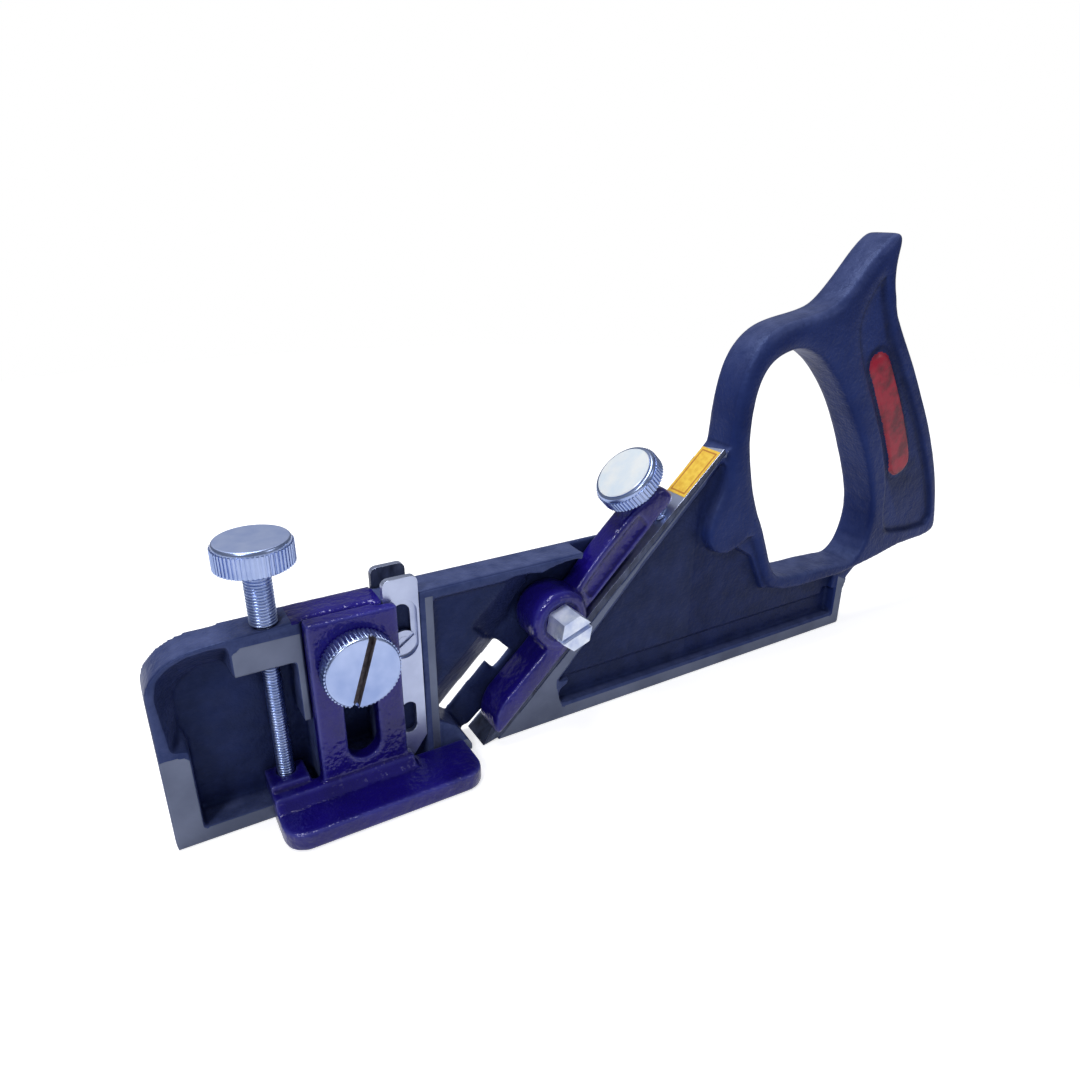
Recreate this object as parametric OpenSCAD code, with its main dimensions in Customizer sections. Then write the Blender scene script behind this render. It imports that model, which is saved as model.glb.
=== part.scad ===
// Dado plane: a narrow rebate plane with two spurs, a depth gauge and a closed handle.
// Measurements run from the toe, the sole and the mid-plane, in millimetres.
// +X runs from toe to heel, +Z up, and the open side of the throat is at -Y.

/* [Sole and rail] */
// Length of the sole
sole_l = 203; // [201:0.5:206]
// Thickness of the casting over its machined sides
body_w = 9.3; // [9.1:0.1:9.8]
// Height of the rail's top above the sole
rail_h = 47; // [46.6:0.1:48]
// Height of the top at the toe, where the rounding ends
toe_top_h = 46; // [45:0.1:46.5]
// Length of the toe's rounding
toe_round_l = 12; // [9:0.5:14]
// Height of the toe's rounding
toe_round_h = 9; // [7:0.5:12]
// Height of the machined strip along the sole
sole_strip_h = 3.5; // [3:0.1:4.5]
// Thickness of the web left between the pockets in the two sides
web_t = 4.2; // [3.4:0.1:5]

/* [Toe pocket and lug] */
// Width of the machined rim at the toe
toe_rim_w = 6.1; // [5:0.1:8]
// Height of the machined rim at the toe
toe_rim_h = 22.5; // [18:0.5:26]
// How far the enamelled surfaces lie below the machined ones
paint_drop = 0.3; // [0.1:0.05:0.5]
// Floor of the toe pocket, measured from the far side
toe_floor_t = 2.3; // [1.6:0.1:2.4]
// Length of the lug that carries the adjusting screw
lug_l = 14.3; // [13:0.1:15]
// Height of the lug
lug_h = 9.6; // [8:0.1:11]
// Width of the strip that guides the gauge's arm
guide_w = 1.9; // [1.4:0.1:2.4]
// Height of that strip below the lug
guide_h = 15; // [12:0.5:18]

/* [Depth gauge] */
// Distance of the adjusting screw's axis from the toe
adjuster_x = 24.7; // [24:0.1:25.4]
// Distance of the gauge's clamp screw from the toe
clamp_x = 41.4; // [40.6:0.1:42]
// Height of the clamp screw above the sole
clamp_z = 35.4; // [34:0.1:36.5]
// Distance of the adjusting screw's axis from the mid-plane, towards the near side
adjuster_side = 0.5; // [0.3:0.05:0.6]
// Width of the gauge's arm
arm_w = 20; // [19.4:0.1:20.4]
// Width of the wall between the arm's channel and the spur's groove
wall_w = 1.9; // [1.5:0.1:2.4]
// How far the arm stands proud of the casting's side
arm_proud = 3.0; // [2.4:0.1:3.6]
// Depth of the arm's channel in the casting's side
arm_sunk = 1.3; // [1:0.1:1.6]
// Width of the slot in the arm
arm_slot_w = 7.4; // [7:0.1:8]
// Height of the lower end of the slot
arm_slot_z = 10.2; // [9.4:0.1:11]
// Length of the foot
foot_l = 46.6; // [44:0.2:50]
// How far the foot reaches out from the mid-plane
foot_reach = 18.8; // [16:0.1:21]
// Thickness of the foot
foot_t = 4.4; // [3.6:0.1:5]
// Radius of the foot's outer corners
foot_r = 5.2; // [3:0.1:6.5]
// Height of the step where the foot meets the arm
step_h = 7.2; // [6:0.1:7.6]

/* [Screws] */
// Radius of the adjusting screw's tail
tail_r = 2.0; // [1.8:0.05:2.2]
// Radius of the adjusting screw's thick shank
shank_r = 2.95; // [2.7:0.05:3.1]
// Height of the thick shank above its seat
shank_h = 13.8; // [11:0.1:16]
// Radius of the adjusting screw's knurled head
adjuster_head_r = 8.7; // [8.2:0.1:9.2]
// Thickness of the adjusting screw's knurled head
adjuster_head_t = 5.4; // [4:0.1:7]
// Radius of the clamp screw's knurled head
clamp_head_r = 8.6; // [8:0.1:9]
// Thickness of the clamp screw's knurled head
clamp_head_t = 4.8; // [4:0.1:6]
// Radius of the clamp screw's shank
clamp_r = 3.0; // [2.6:0.05:3.2]
// Radius of the lever cap's knurled thumb screw
thumb_head_r = 9.0; // [8.4:0.1:9.6]
// Thickness of that thumb screw's head
thumb_head_t = 5.0; // [4:0.1:6]
// Radius of that thumb screw's shank
thumb_r = 2.6; // [2.2:0.05:2.8]
// Running clearance of a shank in its hole, on the radius
fit = 0.05; // [0.02:0.01:0.08]
// Side clearance of a part that slides
slide_gap = 0.1; // [0.05:0.01:0.2]

/* [Spurs] */
// Distance of the spurs' centre line from the toe
spur_x = 53.3; // [53:0.1:53.6]
// Width of a spur
spur_w = 8.2; // [7.8:0.1:8.4]
// Thickness of a spur
spur_t = 1.6; // [1.3:0.1:1.8]
// Height of a spur's lower tip above the sole
spur_tip_z = 3.4; // [2.6:0.1:4.2]
// Length of a spur
spur_l = 48.2; // [46:0.2:50]
// Width of a spur's slots
spur_slot_w = 4.2; // [3.8:0.1:4.4]
// Height of the screw that holds a spur
spur_screw_z = 35.5; // [34.5:0.1:36.5]
// Radius of that screw's shank
spur_screw_r = 1.5; // [1.3:0.05:1.6]
// Radius of that screw's head
spur_head_r = 3.0; // [2.8:0.1:3.1]

/* [Bed and cutter] */
// Angle of the bed to the sole
bed_angle = 43; // [42:0.25:44]
// Where the bed meets the sole, from the toe
bed_x = 76.4; // [75.5:0.1:77]
// Width of the mouth in front of the bed
mouth_w = 6.9; // [6:0.1:7.4]
// Length of the cutter
cutter_l = 99.5; // [96:0.5:100]
// Thickness of the cutter near its edge
cutter_t = 2.6; // [2.4:0.1:2.8]
// Thickness of the cutter at its top
cutter_top_t = 1.3; // [1.1:0.1:1.6]
// Width of the cutter's cutting end
cutter_w = 9.5; // [9.2:0.1:10]
// Length of the wide cutting end
cutter_wide_l = 16; // [12:0.5:18]
// How far the edge stands below the sole
cutter_set = 0.3; // [0.1:0.1:0.6]
// Thickness of the cheek that closes the far side of the throat
cheek_t = 1.6; // [1.3:0.1:1.9]

/* [Lever cap] */
// Distance of the lever cap's pivot along the bed
pivot_l = 33.9; // [33.4:0.1:34.4]
// Distance of the pivot above the cutter
pivot_n = 8.8; // [8.6:0.1:9.2]
// Radius of the lever cap's hub
hub_r = 8.0; // [7.6:0.1:8.3]
// How far the hub stands proud of the casting's side
hub_proud = 3.8; // [3:0.1:4.4]
// Gap between the hub and the casting round it
hub_gap = 1.9; // [1.6:0.1:2.2]
// Height of the lever cap's lower arm
lever_low_h = 6.0; // [5.4:0.1:6.6]
// How far the lever cap's lower arm stands proud of the casting's side
lever_proud = 3.0; // [2:0.1:3.4]
// Height of the lever cap's upper arm
lever_top_h = 8.2; // [7.6:0.1:8.6]
// Gap under the upper arm at the thumb screw
lever_lift = 2.0; // [1.6:0.1:2.4]
// Distance of the thumb screw along the bed
thumb_l = 72.6; // [72:0.2:74]
// Across the flats of the pivot screw's head
hex_af = 8.2; // [7.6:0.1:9]
// Height of the pivot screw's head
hex_h = 7.2; // [5:0.1:8]
// Radius of the pivot screw's shank
pivot_r = 3.0; // [2.6:0.05:3.2]

/* [Handle] */
// Thickness of the handle
handle_w = 12.4; // [11:0.1:13.5]
// Radius of the handle's edges
handle_r = 1.8; // [1.2:0.1:2.2]
// Depth of the recessed panel in the grip's side
panel_depth = 1.3; // [0.8:0.1:1.6]
// Height of the raised badge on that panel
badge_t = 1.0; // [0.6:0.1:1.2]

/* [Hidden] */
$fn = 64;

paint = [0.13, 0.15, 0.34];
blue = [0.16, 0.12, 0.52];
steel = [0.66, 0.68, 0.72];
chrome_grey = [0.78, 0.80, 0.84];

half_w = body_w / 2;
eps = 0.01;
cut = 20;

// The casting's near face and far face
near_y = -half_w;
far_y = half_w;
cheek_y = far_y - cheek_t;

// Lug and arm, side by side, with the strip between them
guide_x1 = clamp_x - arm_w / 2 - slide_gap;
guide_x0 = guide_x1 - guide_w;
lug_x0 = guide_x1 - lug_l;
lug_z0 = rail_h - lug_h;
groove_w = spur_w + 2 * slide_gap;
channel_x1 = spur_x - groove_w / 2 - wall_w;
tongue_x0 = guide_x1 + slide_gap;
tongue_x1 = channel_x1 - slide_gap;
arm_x1 = clamp_x + arm_w / 2;
arm_top_z = rail_h - 0.2;
arm_back_y = near_y + arm_sunk;
arm_front_y = near_y - arm_proud;
seat_depth = 0.8;
seat_z = rail_h - seat_depth;

// Points along the bed, and outwards from the cutter's upper face
dir_l = [cos(bed_angle), sin(bed_angle)];
dir_n = [-sin(bed_angle), cos(bed_angle)];
top_origin = [bed_x, 0] + cutter_t * dir_n;
function on_bed(l, n) = top_origin + l * dir_l + n * dir_n;
taper = (cutter_t - cutter_top_t) / cutter_l;
function bed_n(l) = -cutter_t + taper * l;
function bed_point(l, down) = on_bed(l, bed_n(l) - down);
edge_l = -(top_origin[1] + cutter_set) / dir_l[1];
cutter_end_l = edge_l + cutter_l;
pivot = on_bed(pivot_l, pivot_n);
hub_hole_r = hub_r + hub_gap;

// Throat, in the same two directions
throat_n0 = 10.2;
window_n0 = 6.6;
throat_near_n = 24.6;
throat_far_n = 12.2;
slot_l0 = -2.4;
slot_n1 = 11.7;
throat_l1 = 19.7;
window_l0 = 13.5;
relief = 0.03;
ledge_n = 10;
upper_gap = 1.9;
space_l1 = 98.5;

// Moves a flat outline in x and z to a plate between two values of y
module plate(y0, y1) {
    translate([0, y1, 0])
        rotate([90, 0, 0])
            linear_extrude(y1 - y0)
                children();
}

module from_toe() {
    translate([-sole_l / 2, 0, 0])
        children();
}

module drill_y(x, z, r, y0, y1) {
    translate([x, y1, z])
        rotate([90, 0, 0])
            cylinder(h = y1 - y0, r = r);
}

// A rounded quadrant of an ellipse, from the first axis to the second
function quarter(c, rx, rz, a0, a1, n) =
    [for (i = [0:n]) let (a = a0 + (a1 - a0) * i / n) c + [rx * cos(a), rz * sin(a)]];

// Smooth closed curve through points, with a few steps for each stretch
function catmull(p0, p1, p2, p3, t) =
    0.5 * (2 * p1 + (p2 - p0) * t + (2 * p0 - 5 * p1 + 4 * p2 - p3) * t * t
        + (3 * p1 - p0 - 3 * p2 + p3) * t * t * t);
function smooth(p, steps) =
    let (n = len(p))
    [for (i = [0:n - 1]) for (k = [0:steps - 1])
        catmull(p[(i + n - 1) % n], p[i], p[(i + 1) % n], p[(i + 2) % n], k / steps)];

// The same curve drawn inwards by a distance, for outlines that run anticlockwise
function unit(v) = v / norm(v);
function inset(p, d) =
    let (n = len(p))
    [for (i = [0:n - 1])
        let (t = unit(p[(i + 1) % n] - p[(i + n - 1) % n])) p[i] + d * [-t[1], t[0]]];

// Handle: outline and hand hole, both anticlockwise
handle_points = [
    [202.7, 119.4], [200.8, 120.8], [197.4, 118.8], [193.0, 115.2], [188.0, 109.8], [183.4, 105.3],
    [179.0, 102.2], [172.0, 100.6], [164.8, 99.5], [158.4, 97.6], [153.2, 93.6], [149.8, 88.0],
    [148.0, 80.0], [147.2, 71.0], [147.0, 62.0], [145.4, 55.0], [142.4, 48.8], [141.4, 43.4],
    [143.8, 38.8], [148.6, 36.8], [153.8, 38.4], [157.8, 40.4], [160.6, 36.0], [163.4, 29.4],
    [166.8, 22.8], [172.6, 19.8], [181.0, 19.0], [190.0, 18.8], [198.6, 19.0], [207.6, 20.2],
    [216.6, 21.7], [226.2, 23.6], [236.8, 24.0], [242.4, 25.4], [243.4, 28.6], [241.4, 37.0],
    [239.0, 44.4], [235.0, 53.6], [229.2, 64.3], [223.6, 72.9], [217.0, 82.7], [210.4, 91.4],
    [205.4, 98.4], [203.6, 103.2], [202.4, 107.4], [202.0, 112.6], [202.5, 116.8]];
hole_points = [
    [168.8, 91.6], [163.2, 90.6], [158.6, 88.2], [155.6, 83.2], [154.4, 76.0], [154.4, 68.0],
    [156.6, 57.6], [159.8, 46.8], [162.2, 41.4], [164.8, 35.0], [167.6, 28.4], [171.4, 24.4],
    [179.6, 23.2], [188.4, 23.0], [197.8, 22.4], [202.8, 22.2], [206.8, 25.4], [209.2, 32.4],
    [208.8, 41.4], [203.8, 54.0], [198.2, 64.2], [190.6, 75.4], [183.0, 84.0], [175.8, 89.4]];
handle_steps = 2;
handle_curve = smooth(handle_points, handle_steps);
hole_curve = smooth(hole_points, handle_steps);
panel_points = [
    [197.4, 110.0], [191.6, 103.0], [189.6, 95.4], [194.0, 84.6], [202.0, 72.2], [208.6, 59.6],
    [213.4, 47.0], [215.0, 36.6], [218.0, 30.0], [228.0, 28.6], [237.6, 28.8], [239.4, 32.6],
    [236.6, 41.6], [231.4, 52.4], [223.6, 65.8], [213.8, 79.8], [204.8, 92.2], [199.8, 102.0]];
panel_curve = smooth(panel_points, 2);
badge_points = [
    [200.6, 87.6], [198.2, 84.2], [200.6, 79.6], [207.2, 68.4], [212.6, 57.0], [215.4, 50.6],
    [219.4, 49.4], [222.6, 52.4], [221.4, 57.6], [215.6, 69.2], [208.8, 80.4], [204.4, 86.6]];
badge_curve = smooth(badge_points, 2);

// Layers that round the handle's edges: distance in from the outline, and height from the mid-plane
round_steps = 3;
round_layers = [for (i = [0:round_steps]) let (a = 90 * i / round_steps)
    [handle_r * (1 - cos(a)), handle_w / 2 - handle_r + handle_r * sin(a)]];

module rounded_loop(outer, inner) {
    for (i = [0:round_steps - 1])
        plate(-round_layers[i + 1][1], round_layers[i + 1][1])
            difference() {
                polygon(inset(outer, round_layers[i][0]));
                polygon(inset(inner, -round_layers[i][0]));
            }
}

// Side outline of the rail and the web behind the bed
toe_centre = [toe_round_l, toe_top_h - toe_round_h];
module rail_outline() {
    polygon(concat(
        [[0, 0]],
        [[sole_l - 0.6, 0], [sole_l, 0.6], [sole_l, 12.5], [204.0, 15.6], [207.4, 18.6], [213.0, 21.4],
         [208.0, 26.0], [170.0, 26.0], [161.0, 48.0], [157.6, 60.0], [152.0, 72.0], bed_point(100, 0),
         bed_point(60, 0), [115, rail_h], [32, rail_h]],
        quarter(toe_centre, toe_round_l, toe_round_h, 90, 180, 10)));
}

// Pocket behind the toe: straight walls below, and sloping ones under the rounded rim
module toe_pocket(floor_y) {
    plate(-cut, floor_y)
        polygon([
            [toe_rim_w, sole_strip_h], [guide_x1 + eps, sole_strip_h], [guide_x1 + eps, lug_z0 - guide_h],
            [guide_x0, lug_z0 - guide_h], [guide_x0, lug_z0], [lug_x0, lug_z0], [lug_x0 - 1, 38.8],
            [11, 38.8], [7.6, 37.0], [5.6, 34.0], [5.2, 26.0], [toe_rim_w, toe_rim_h + 0.3]]);
    hull() {
        plate(near_y - 1, near_y)
            polygon([[2.6, toe_rim_h + 1.2], [1.6, 37.5], [2.6, 41.6], [5.2, 43.8], [8.4, 45.0], [12.4, 45.5],
                     [lug_x0 - 0.4, 45.3], [lug_x0 - 0.4, 36], [7, toe_rim_h + 0.4]]);
        plate(floor_y - 0.5, floor_y)
            polygon([[5.2, 26.0], [5.6, 34.0], [7.6, 37.0], [11, 38.8], [lug_x0 - 1, 38.8], [lug_x0 - 1, 36],
                     [8, toe_rim_h + 3]]);
    }
}

// Panel between the spur and the throat
panel_x0 = spur_x + groove_w / 2 + 3.4;
module front_panel() {
    polygon([[panel_x0, 12], [90, 36], [88.0, rail_h - 2.8], [panel_x0, rail_h - 2.8]]);
}

// Machined pads on the near side: they stand proud of the enamelled surfaces by paint_drop
module machined_pads() {
    polygon([[-1, -1], [toe_rim_w, -1], [toe_rim_w, toe_rim_h - 1.4], [toe_rim_w - 1.2, toe_rim_h],
             [1.4, toe_rim_h + 0.6], [-1, toe_rim_h]]);
    translate([-1, -1])
        square([sole_l + 2, sole_strip_h + 1]);
    polygon([[lug_x0, lug_z0 - 1], [guide_x0, lug_z0 - 1], [guide_x0, lug_z0 - guide_h - 1],
             [channel_x1, lug_z0 - guide_h - 1], [channel_x1, rail_h - 3], [lug_x0 + 2, rail_h - 2.6],
             [lug_x0, rail_h - 4]]);
    translate([channel_x1 - eps, -1])
        square([panel_x0 - channel_x1, rail_h - 0.4]);
    polygon([[66, -1], bed_point(-2, -3), bed_point(100, -3), bed_point(100, 0.4), bed_point(60, 1.2),
             bed_point(21, 3.6), [94.4, 8.8], [96.0, sole_strip_h - 0.5]]);
    polygon([[sole_l - 3.4, -1], [sole_l + 1, -1], [sole_l + 1, 15.5], [sole_l - 3.4, 17.6]]);
}

rear_low_z = 11.2;
module rear_panel() {
    polygon([bed_point(20.5, 4.4), bed_point(60, 2.6), bed_point(94, 1.8),
             [149.0, 62.0], [149.0, 40.0], [160.0, 33.0], [166.0, 21.0], [178.0, 19.0], [197.6, 18.6],
             [197.6, rear_low_z], [96.8, rear_low_z]]);
}

module rear_groove() {
    polygon(concat(
        quarter([97.6, sole_strip_h + 3.3], 2.6, 2.6, 90, 270, 8),
        [[199.2, sole_strip_h + 0.7], [199.2, 13.4], [196, 13.4], [196, rear_low_z - 0.2], [98, rear_low_z - 0.2]]));
}

// Where the lever cap and the cutter lie, open to the near side
module lever_space() {
    polygon([bed_point(-3.8, 0), bed_point(space_l1, 0), on_bed(space_l1, 20), on_bed(60, 20),
             on_bed(pivot_l + 15, lever_top_h + lever_lift + upper_gap + 1),
             [100, rail_h - 1.4], [95, rail_h - 1.7], [90.5, rail_h - 2.7], [87.5, rail_h - 5], on_bed(pivot_l, 12),
             on_bed(pivot_l - 10, ledge_n + 0.6), on_bed(slot_l0 + 0.1, slot_n1 + 0.1), [66.0, 7.4],
             [bed_x - mouth_w, 1.2], [bed_x - mouth_w, -1], [bed_x, -1]]);
    translate(pivot)
        circle(r = hub_hole_r);
}

// What passes through the cheek as well: the slot beside the front wall, its window and the mouth
module through_space() {
    polygon([on_bed(slot_l0, throat_n0), on_bed(window_l0, throat_n0), on_bed(window_l0, window_n0),
             on_bed(throat_l1, window_n0), on_bed(throat_l1, slot_n1), on_bed(slot_l0 + 0.5, slot_n1)]);
    polygon([[bed_x - mouth_w, -1], [bed_x - mouth_w, 1.2], on_bed(edge_l + 1, 1.6),
             on_bed(cutter_wide_l + 3, 0.4), bed_point(cutter_wide_l + 3, relief),
             bed_point(-1.6, relief)]);
}

// Slanting prism along the bed: its wall runs from one height over the cutter at the near face to
// another at the far face
module slanted(l0, l1, near_n, far_n, floor_n) {
    reach = 4;
    slope = (near_n - far_n) / body_w;
    on_bed_frame()
        translate([l0, 0, 0])
            rotate([90, 0, 90])
                linear_extrude(l1 - l0)
                    polygon([[near_y - reach, near_n + reach * slope], [far_y + reach, far_n - reach * slope],
                             [far_y + reach, floor_n - 8], [near_y - reach, floor_n - 8]]);
}

// The scoop that throws shavings out to the near side
module scoop() {
    intersection() {
        slanted(-9, throat_l1 + 2, throat_near_n, throat_far_n, ledge_n);
        plate(-cut, cut)
            polygon([[panel_x0 + 0.2, 11.2], [66.5, 7.4], on_bed(slot_l0 + 0.8, throat_n0 + 0.5),
                     on_bed(throat_l1 - relief, throat_n0 + 0.5), on_bed(throat_l1 - relief, 32),
                     [panel_x0 + 0.2, 34]]);
    }
    intersection() {
        slanted(throat_l1 - 2, pivot_l + 8, throat_near_n + 4.4, throat_far_n, ledge_n);
        plate(-cut, cheek_y - relief)
            polygon([on_bed(throat_l1 - 1, ledge_n + relief), on_bed(throat_l1 - 1, throat_near_n),
                     [70.8, 33.6], [73.0, 38.2], [75.4, 42.4], [78.6, 44.2], [82.4, 44.9], [86.6, 44.6],
                     [90, 44.0], on_bed(pivot_l, 14), on_bed(pivot_l - 8, ledge_n + relief)]);
    }
}

module spur_groove(side) {
    translate([spur_x - groove_w / 2, side > 0 ? far_y - spur_t : near_y - cut, -eps])
        cube([groove_w, cut + spur_t, rail_h + cut]);
}

module body() {
    far_floor_y = far_y - toe_floor_t;
    web_near_y = -web_t / 2;
    color(paint)
        from_toe()
            difference() {
                union() {
                    difference() {
                        plate(near_y, far_y)
                            rail_outline();
                        plate(-cut, near_y + paint_drop)
                            difference() {
                                translate([-cut, -cut])
                                    square([sole_l + 3 * cut, rail_h + 3 * cut]);
                                machined_pads();
                            }
                        toe_pocket(far_floor_y);
                        plate(-cut, near_y + 1.5)
                            front_panel();
                        plate(-cut, web_near_y)
                            rear_panel();
                        plate(-cut, web_near_y + 0.9)
                            rear_groove();
                        mirror([0, 1, 0]) {
                            plate(-cut, web_near_y)
                                rear_panel();
                            plate(-cut, web_near_y + 0.9)
                                rear_groove();
                        }
                        plate(-cut, near_y + arm_sunk)
                            translate([guide_x1, -eps])
                                square([channel_x1 - guide_x1, rail_h + cut]);
                        plate(-cut, far_floor_y)
                            difference() {
                                translate([guide_x1 + 2, sole_strip_h + 5])
                                    square([channel_x1 - guide_x1 - 3.5, lug_z0 - sole_strip_h]);
                                translate([clamp_x, clamp_z])
                                    circle(r = clamp_r + 3.2);
                            }
                    }
                    difference() {
                        rounded_loop(handle_curve, hole_curve);
                        for (s = [0, 1])
                            mirror([0, s, 0])
                                plate(-cut, panel_depth - handle_w / 2)
                                    polygon(panel_curve);
                    }
                    plate(panel_depth - handle_w / 2 - badge_t, 0)
                        polygon(badge_curve);
                }
                plate(-cut, cheek_y)
                    lever_space();
                plate(-cut, cut)
                    through_space();
                scoop();
                plate(-cut, cut)
                    polygon(hole_curve);
                spur_groove(-1);
                spur_groove(1);
                translate([adjuster_x, -adjuster_side, lug_z0 - 1])
                    cylinder(h = lug_h + 2, r = tail_r + fit);
                translate([adjuster_x, -adjuster_side, seat_z])
                    cylinder(h = cut, r = shank_r + 0.6);
                drill_y(clamp_x, clamp_z, clamp_r + fit, -cut, far_y - 1.8);
                drill_y(spur_x, spur_screw_z, spur_screw_r + fit, -cut, -0.3);
                drill_y(spur_x, spur_screw_z, spur_screw_r + fit, 0.3, cut);
                drill_y(pivot[0], pivot[1], pivot_r + fit, -cut, cut);
            }
}

cutter_near_y = near_y + 0.05;
cutter_far_y = cheek_y - slide_gap;

// Directions along the bed as x and out of it as z
module on_bed_frame() {
    translate([top_origin[0], 0, top_origin[1]])
        rotate([0, -bed_angle, 0])
            children();
}

module cutter_side() {
    bevel_l = 4.6;
    polygon([on_bed(edge_l, 0), bed_point(edge_l + bevel_l, 0), bed_point(cutter_end_l, 0),
             on_bed(cutter_end_l, 0)]);
}

module cutter() {
    skew = 10;
    color(steel)
        from_toe()
            difference() {
                union() {
                    plate(cutter_near_y, cutter_far_y)
                        cutter_side();
                    intersection() {
                        plate(-cutter_w / 2, cutter_w / 2)
                            cutter_side();
                        plate(-cut, cut)
                            polygon([on_bed(-30, -30), on_bed(cutter_wide_l, -30),
                                     on_bed(cutter_wide_l, 30), on_bed(-30, 30)]);
                    }
                }
                on_bed_frame()
                    translate([cutter_end_l, cutter_near_y, -cut])
                        rotate([0, 0, skew])
                            translate([0, -cut, 0])
                                cube([cut, 3 * cut, 2 * cut]);
            }
}

label_t = 0.1;
label_margin = 0.2;
label_screw_gap = 6.9;
label_l0 = thumb_l + label_screw_gap;
label_l1 = 95;
module cutter_label() {
    color("gold")
        from_toe()
            on_bed_frame()
                translate([label_l0, cutter_near_y + label_margin, 0])
                    cube([label_l1 - label_l0, cutter_far_y - cutter_near_y - 2 * label_margin, label_t]);
}

lever_mid_y = (cutter_near_y + cutter_far_y) / 2;
lever_top_n = lever_top_h + lever_lift;
lever_end_l = thumb_l + 5.4;
lever_touch = 0.04;

module lever_side() {
    polygon([on_bed(1.8, lever_touch), on_bed(4.4, lever_touch), on_bed(pivot_l - 6, 1.0),
             on_bed(thumb_l, lever_lift), on_bed(lever_end_l - 1.2, lever_lift),
             on_bed(lever_end_l, lever_lift + 1.4), on_bed(lever_end_l - 0.4, lever_top_n - 3.4),
             on_bed(thumb_l + 2.6, lever_top_n - 1.5), on_bed(thumb_l - 7, lever_top_n),
             on_bed(pivot_l + 20, lever_top_n - 0.2), on_bed(pivot_l + 8, lever_top_n - 1.4),
             on_bed(pivot_l, lever_top_n), on_bed(pivot_l - 8, lever_low_h),
             on_bed(8.4, lever_low_h), on_bed(5.2, lever_low_h - 1.1), on_bed(3.0, lever_low_h - 2.8),
             on_bed(1.5, 1.4)]);
}

// The lower arm is wider than the cutter: it stands out over the near side as far as the hub's root
module lever_low_side() {
    polygon([on_bed(1.8, lever_touch), on_bed(4.4, lever_touch), on_bed(pivot_l - 2, 0.6),
             on_bed(pivot_l, 4), on_bed(pivot_l - 3, lever_low_h), on_bed(8.4, lever_low_h),
             on_bed(5.2, lever_low_h - 1.1), on_bed(3.0, lever_low_h - 2.8), on_bed(1.5, 1.4)]);
}

module lever_recess() {
    rim = 2.2;
    polygon([on_bed(pivot_l + hub_r + 1.2, lever_lift + 0.6), on_bed(thumb_l - 5, lever_lift + rim - 0.6),
             on_bed(thumb_l - 5, lever_top_n - rim), on_bed(pivot_l + 20, lever_top_n - rim),
             on_bed(pivot_l + hub_r + 1.6, lever_top_n - rim - 1)]);
}

hub_face_y = near_y - hub_proud;
module lever_cap() {
    hub_edge = 1.2;
    hub_dish = 0.9;
    color(blue)
        from_toe()
            difference() {
                union() {
                    plate(cutter_near_y, cutter_far_y)
                        lever_side();
                    plate(near_y - lever_proud, cutter_near_y + 1)
                        lever_low_side();
                    drill_y(pivot[0], pivot[1], hub_r, hub_face_y + hub_edge, cutter_far_y);
                    translate([pivot[0], hub_face_y + hub_edge, pivot[1]])
                        rotate([90, 0, 0])
                            cylinder(h = hub_edge, r1 = hub_r, r2 = hub_r - hub_edge);
                    on_bed_frame()
                        translate([thumb_l, lever_mid_y, lever_lift])
                            cylinder(h = lever_top_h - 1.2, r = (cutter_far_y - cutter_near_y) / 2);
                }
                plate(-cut, cutter_near_y + 1.3)
                    lever_recess();
                drill_y(pivot[0], pivot[1], hub_r - 2.6, -cut, hub_face_y + hub_dish);
                drill_y(pivot[0], pivot[1], pivot_r + fit, -cut, cut);
                on_bed_frame()
                    translate([thumb_l, lever_mid_y, -1])
                        cylinder(h = cut, r = thumb_r + fit);
            }
}

module lever_cap_pivot_screw() {
    slot_w = 1.3;
    slot_depth = 1.8;
    turn = 20;
    head_y = hub_face_y + 0.9 - 0.05;
    head_out = head_y - hex_h;
    color(chrome_grey)
        from_toe()
            difference() {
                union() {
                    translate([pivot[0], head_y, pivot[1]])
                        rotate([90, 0, 0])
                            rotate([0, 0, turn])
                                cylinder(h = hex_h, r = hex_af / 2 / cos(30), $fn = 6);
                    drill_y(pivot[0], pivot[1], pivot_r, head_y - 0.5, far_y - 0.2);
                }
                translate([pivot[0], head_out, pivot[1]])
                    rotate([0, -turn, 0])
                        cube([3 * hex_af, 2 * slot_depth, slot_w], center = true);
            }
}

// A round knurled head along +Z: grooves in its rim, and bevelled edges
module knurled_head(r, h, grooves) {
    bevel = 0.6;
    difference() {
        union() {
            cylinder(h = bevel, r1 = r - bevel, r2 = r);
            translate([0, 0, bevel])
                cylinder(h = h - 2 * bevel, r = r);
            translate([0, 0, h - bevel])
                cylinder(h = bevel, r1 = r, r2 = r - bevel);
        }
        for (i = [0:grooves - 1])
            rotate([0, 0, 360 * i / grooves])
                translate([r + 0.25, 0, -1])
                    rotate([0, 0, 45])
                        translate([-0.45, -0.45, 0])
                            cube([0.9, 0.9, h + 2]);
    }
}

module lever_cap_thumb_screw() {
    head_n = 18.6 - thumb_head_t;
    color(chrome_grey)
        from_toe()
            on_bed_frame()
                translate([thumb_l, lever_mid_y, 0])
                    difference() {
                        union() {
                            translate([0, 0, lever_touch])
                                cylinder(h = head_n, r = thumb_r);
                            translate([0, 0, head_n])
                                knurled_head(thumb_head_r, thumb_head_t, 36);
                        }
                        translate([0, 0, head_n + thumb_head_t - 0.4])
                            cylinder(h = 1, r = thumb_head_r - 2.4);
                    }
}

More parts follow.
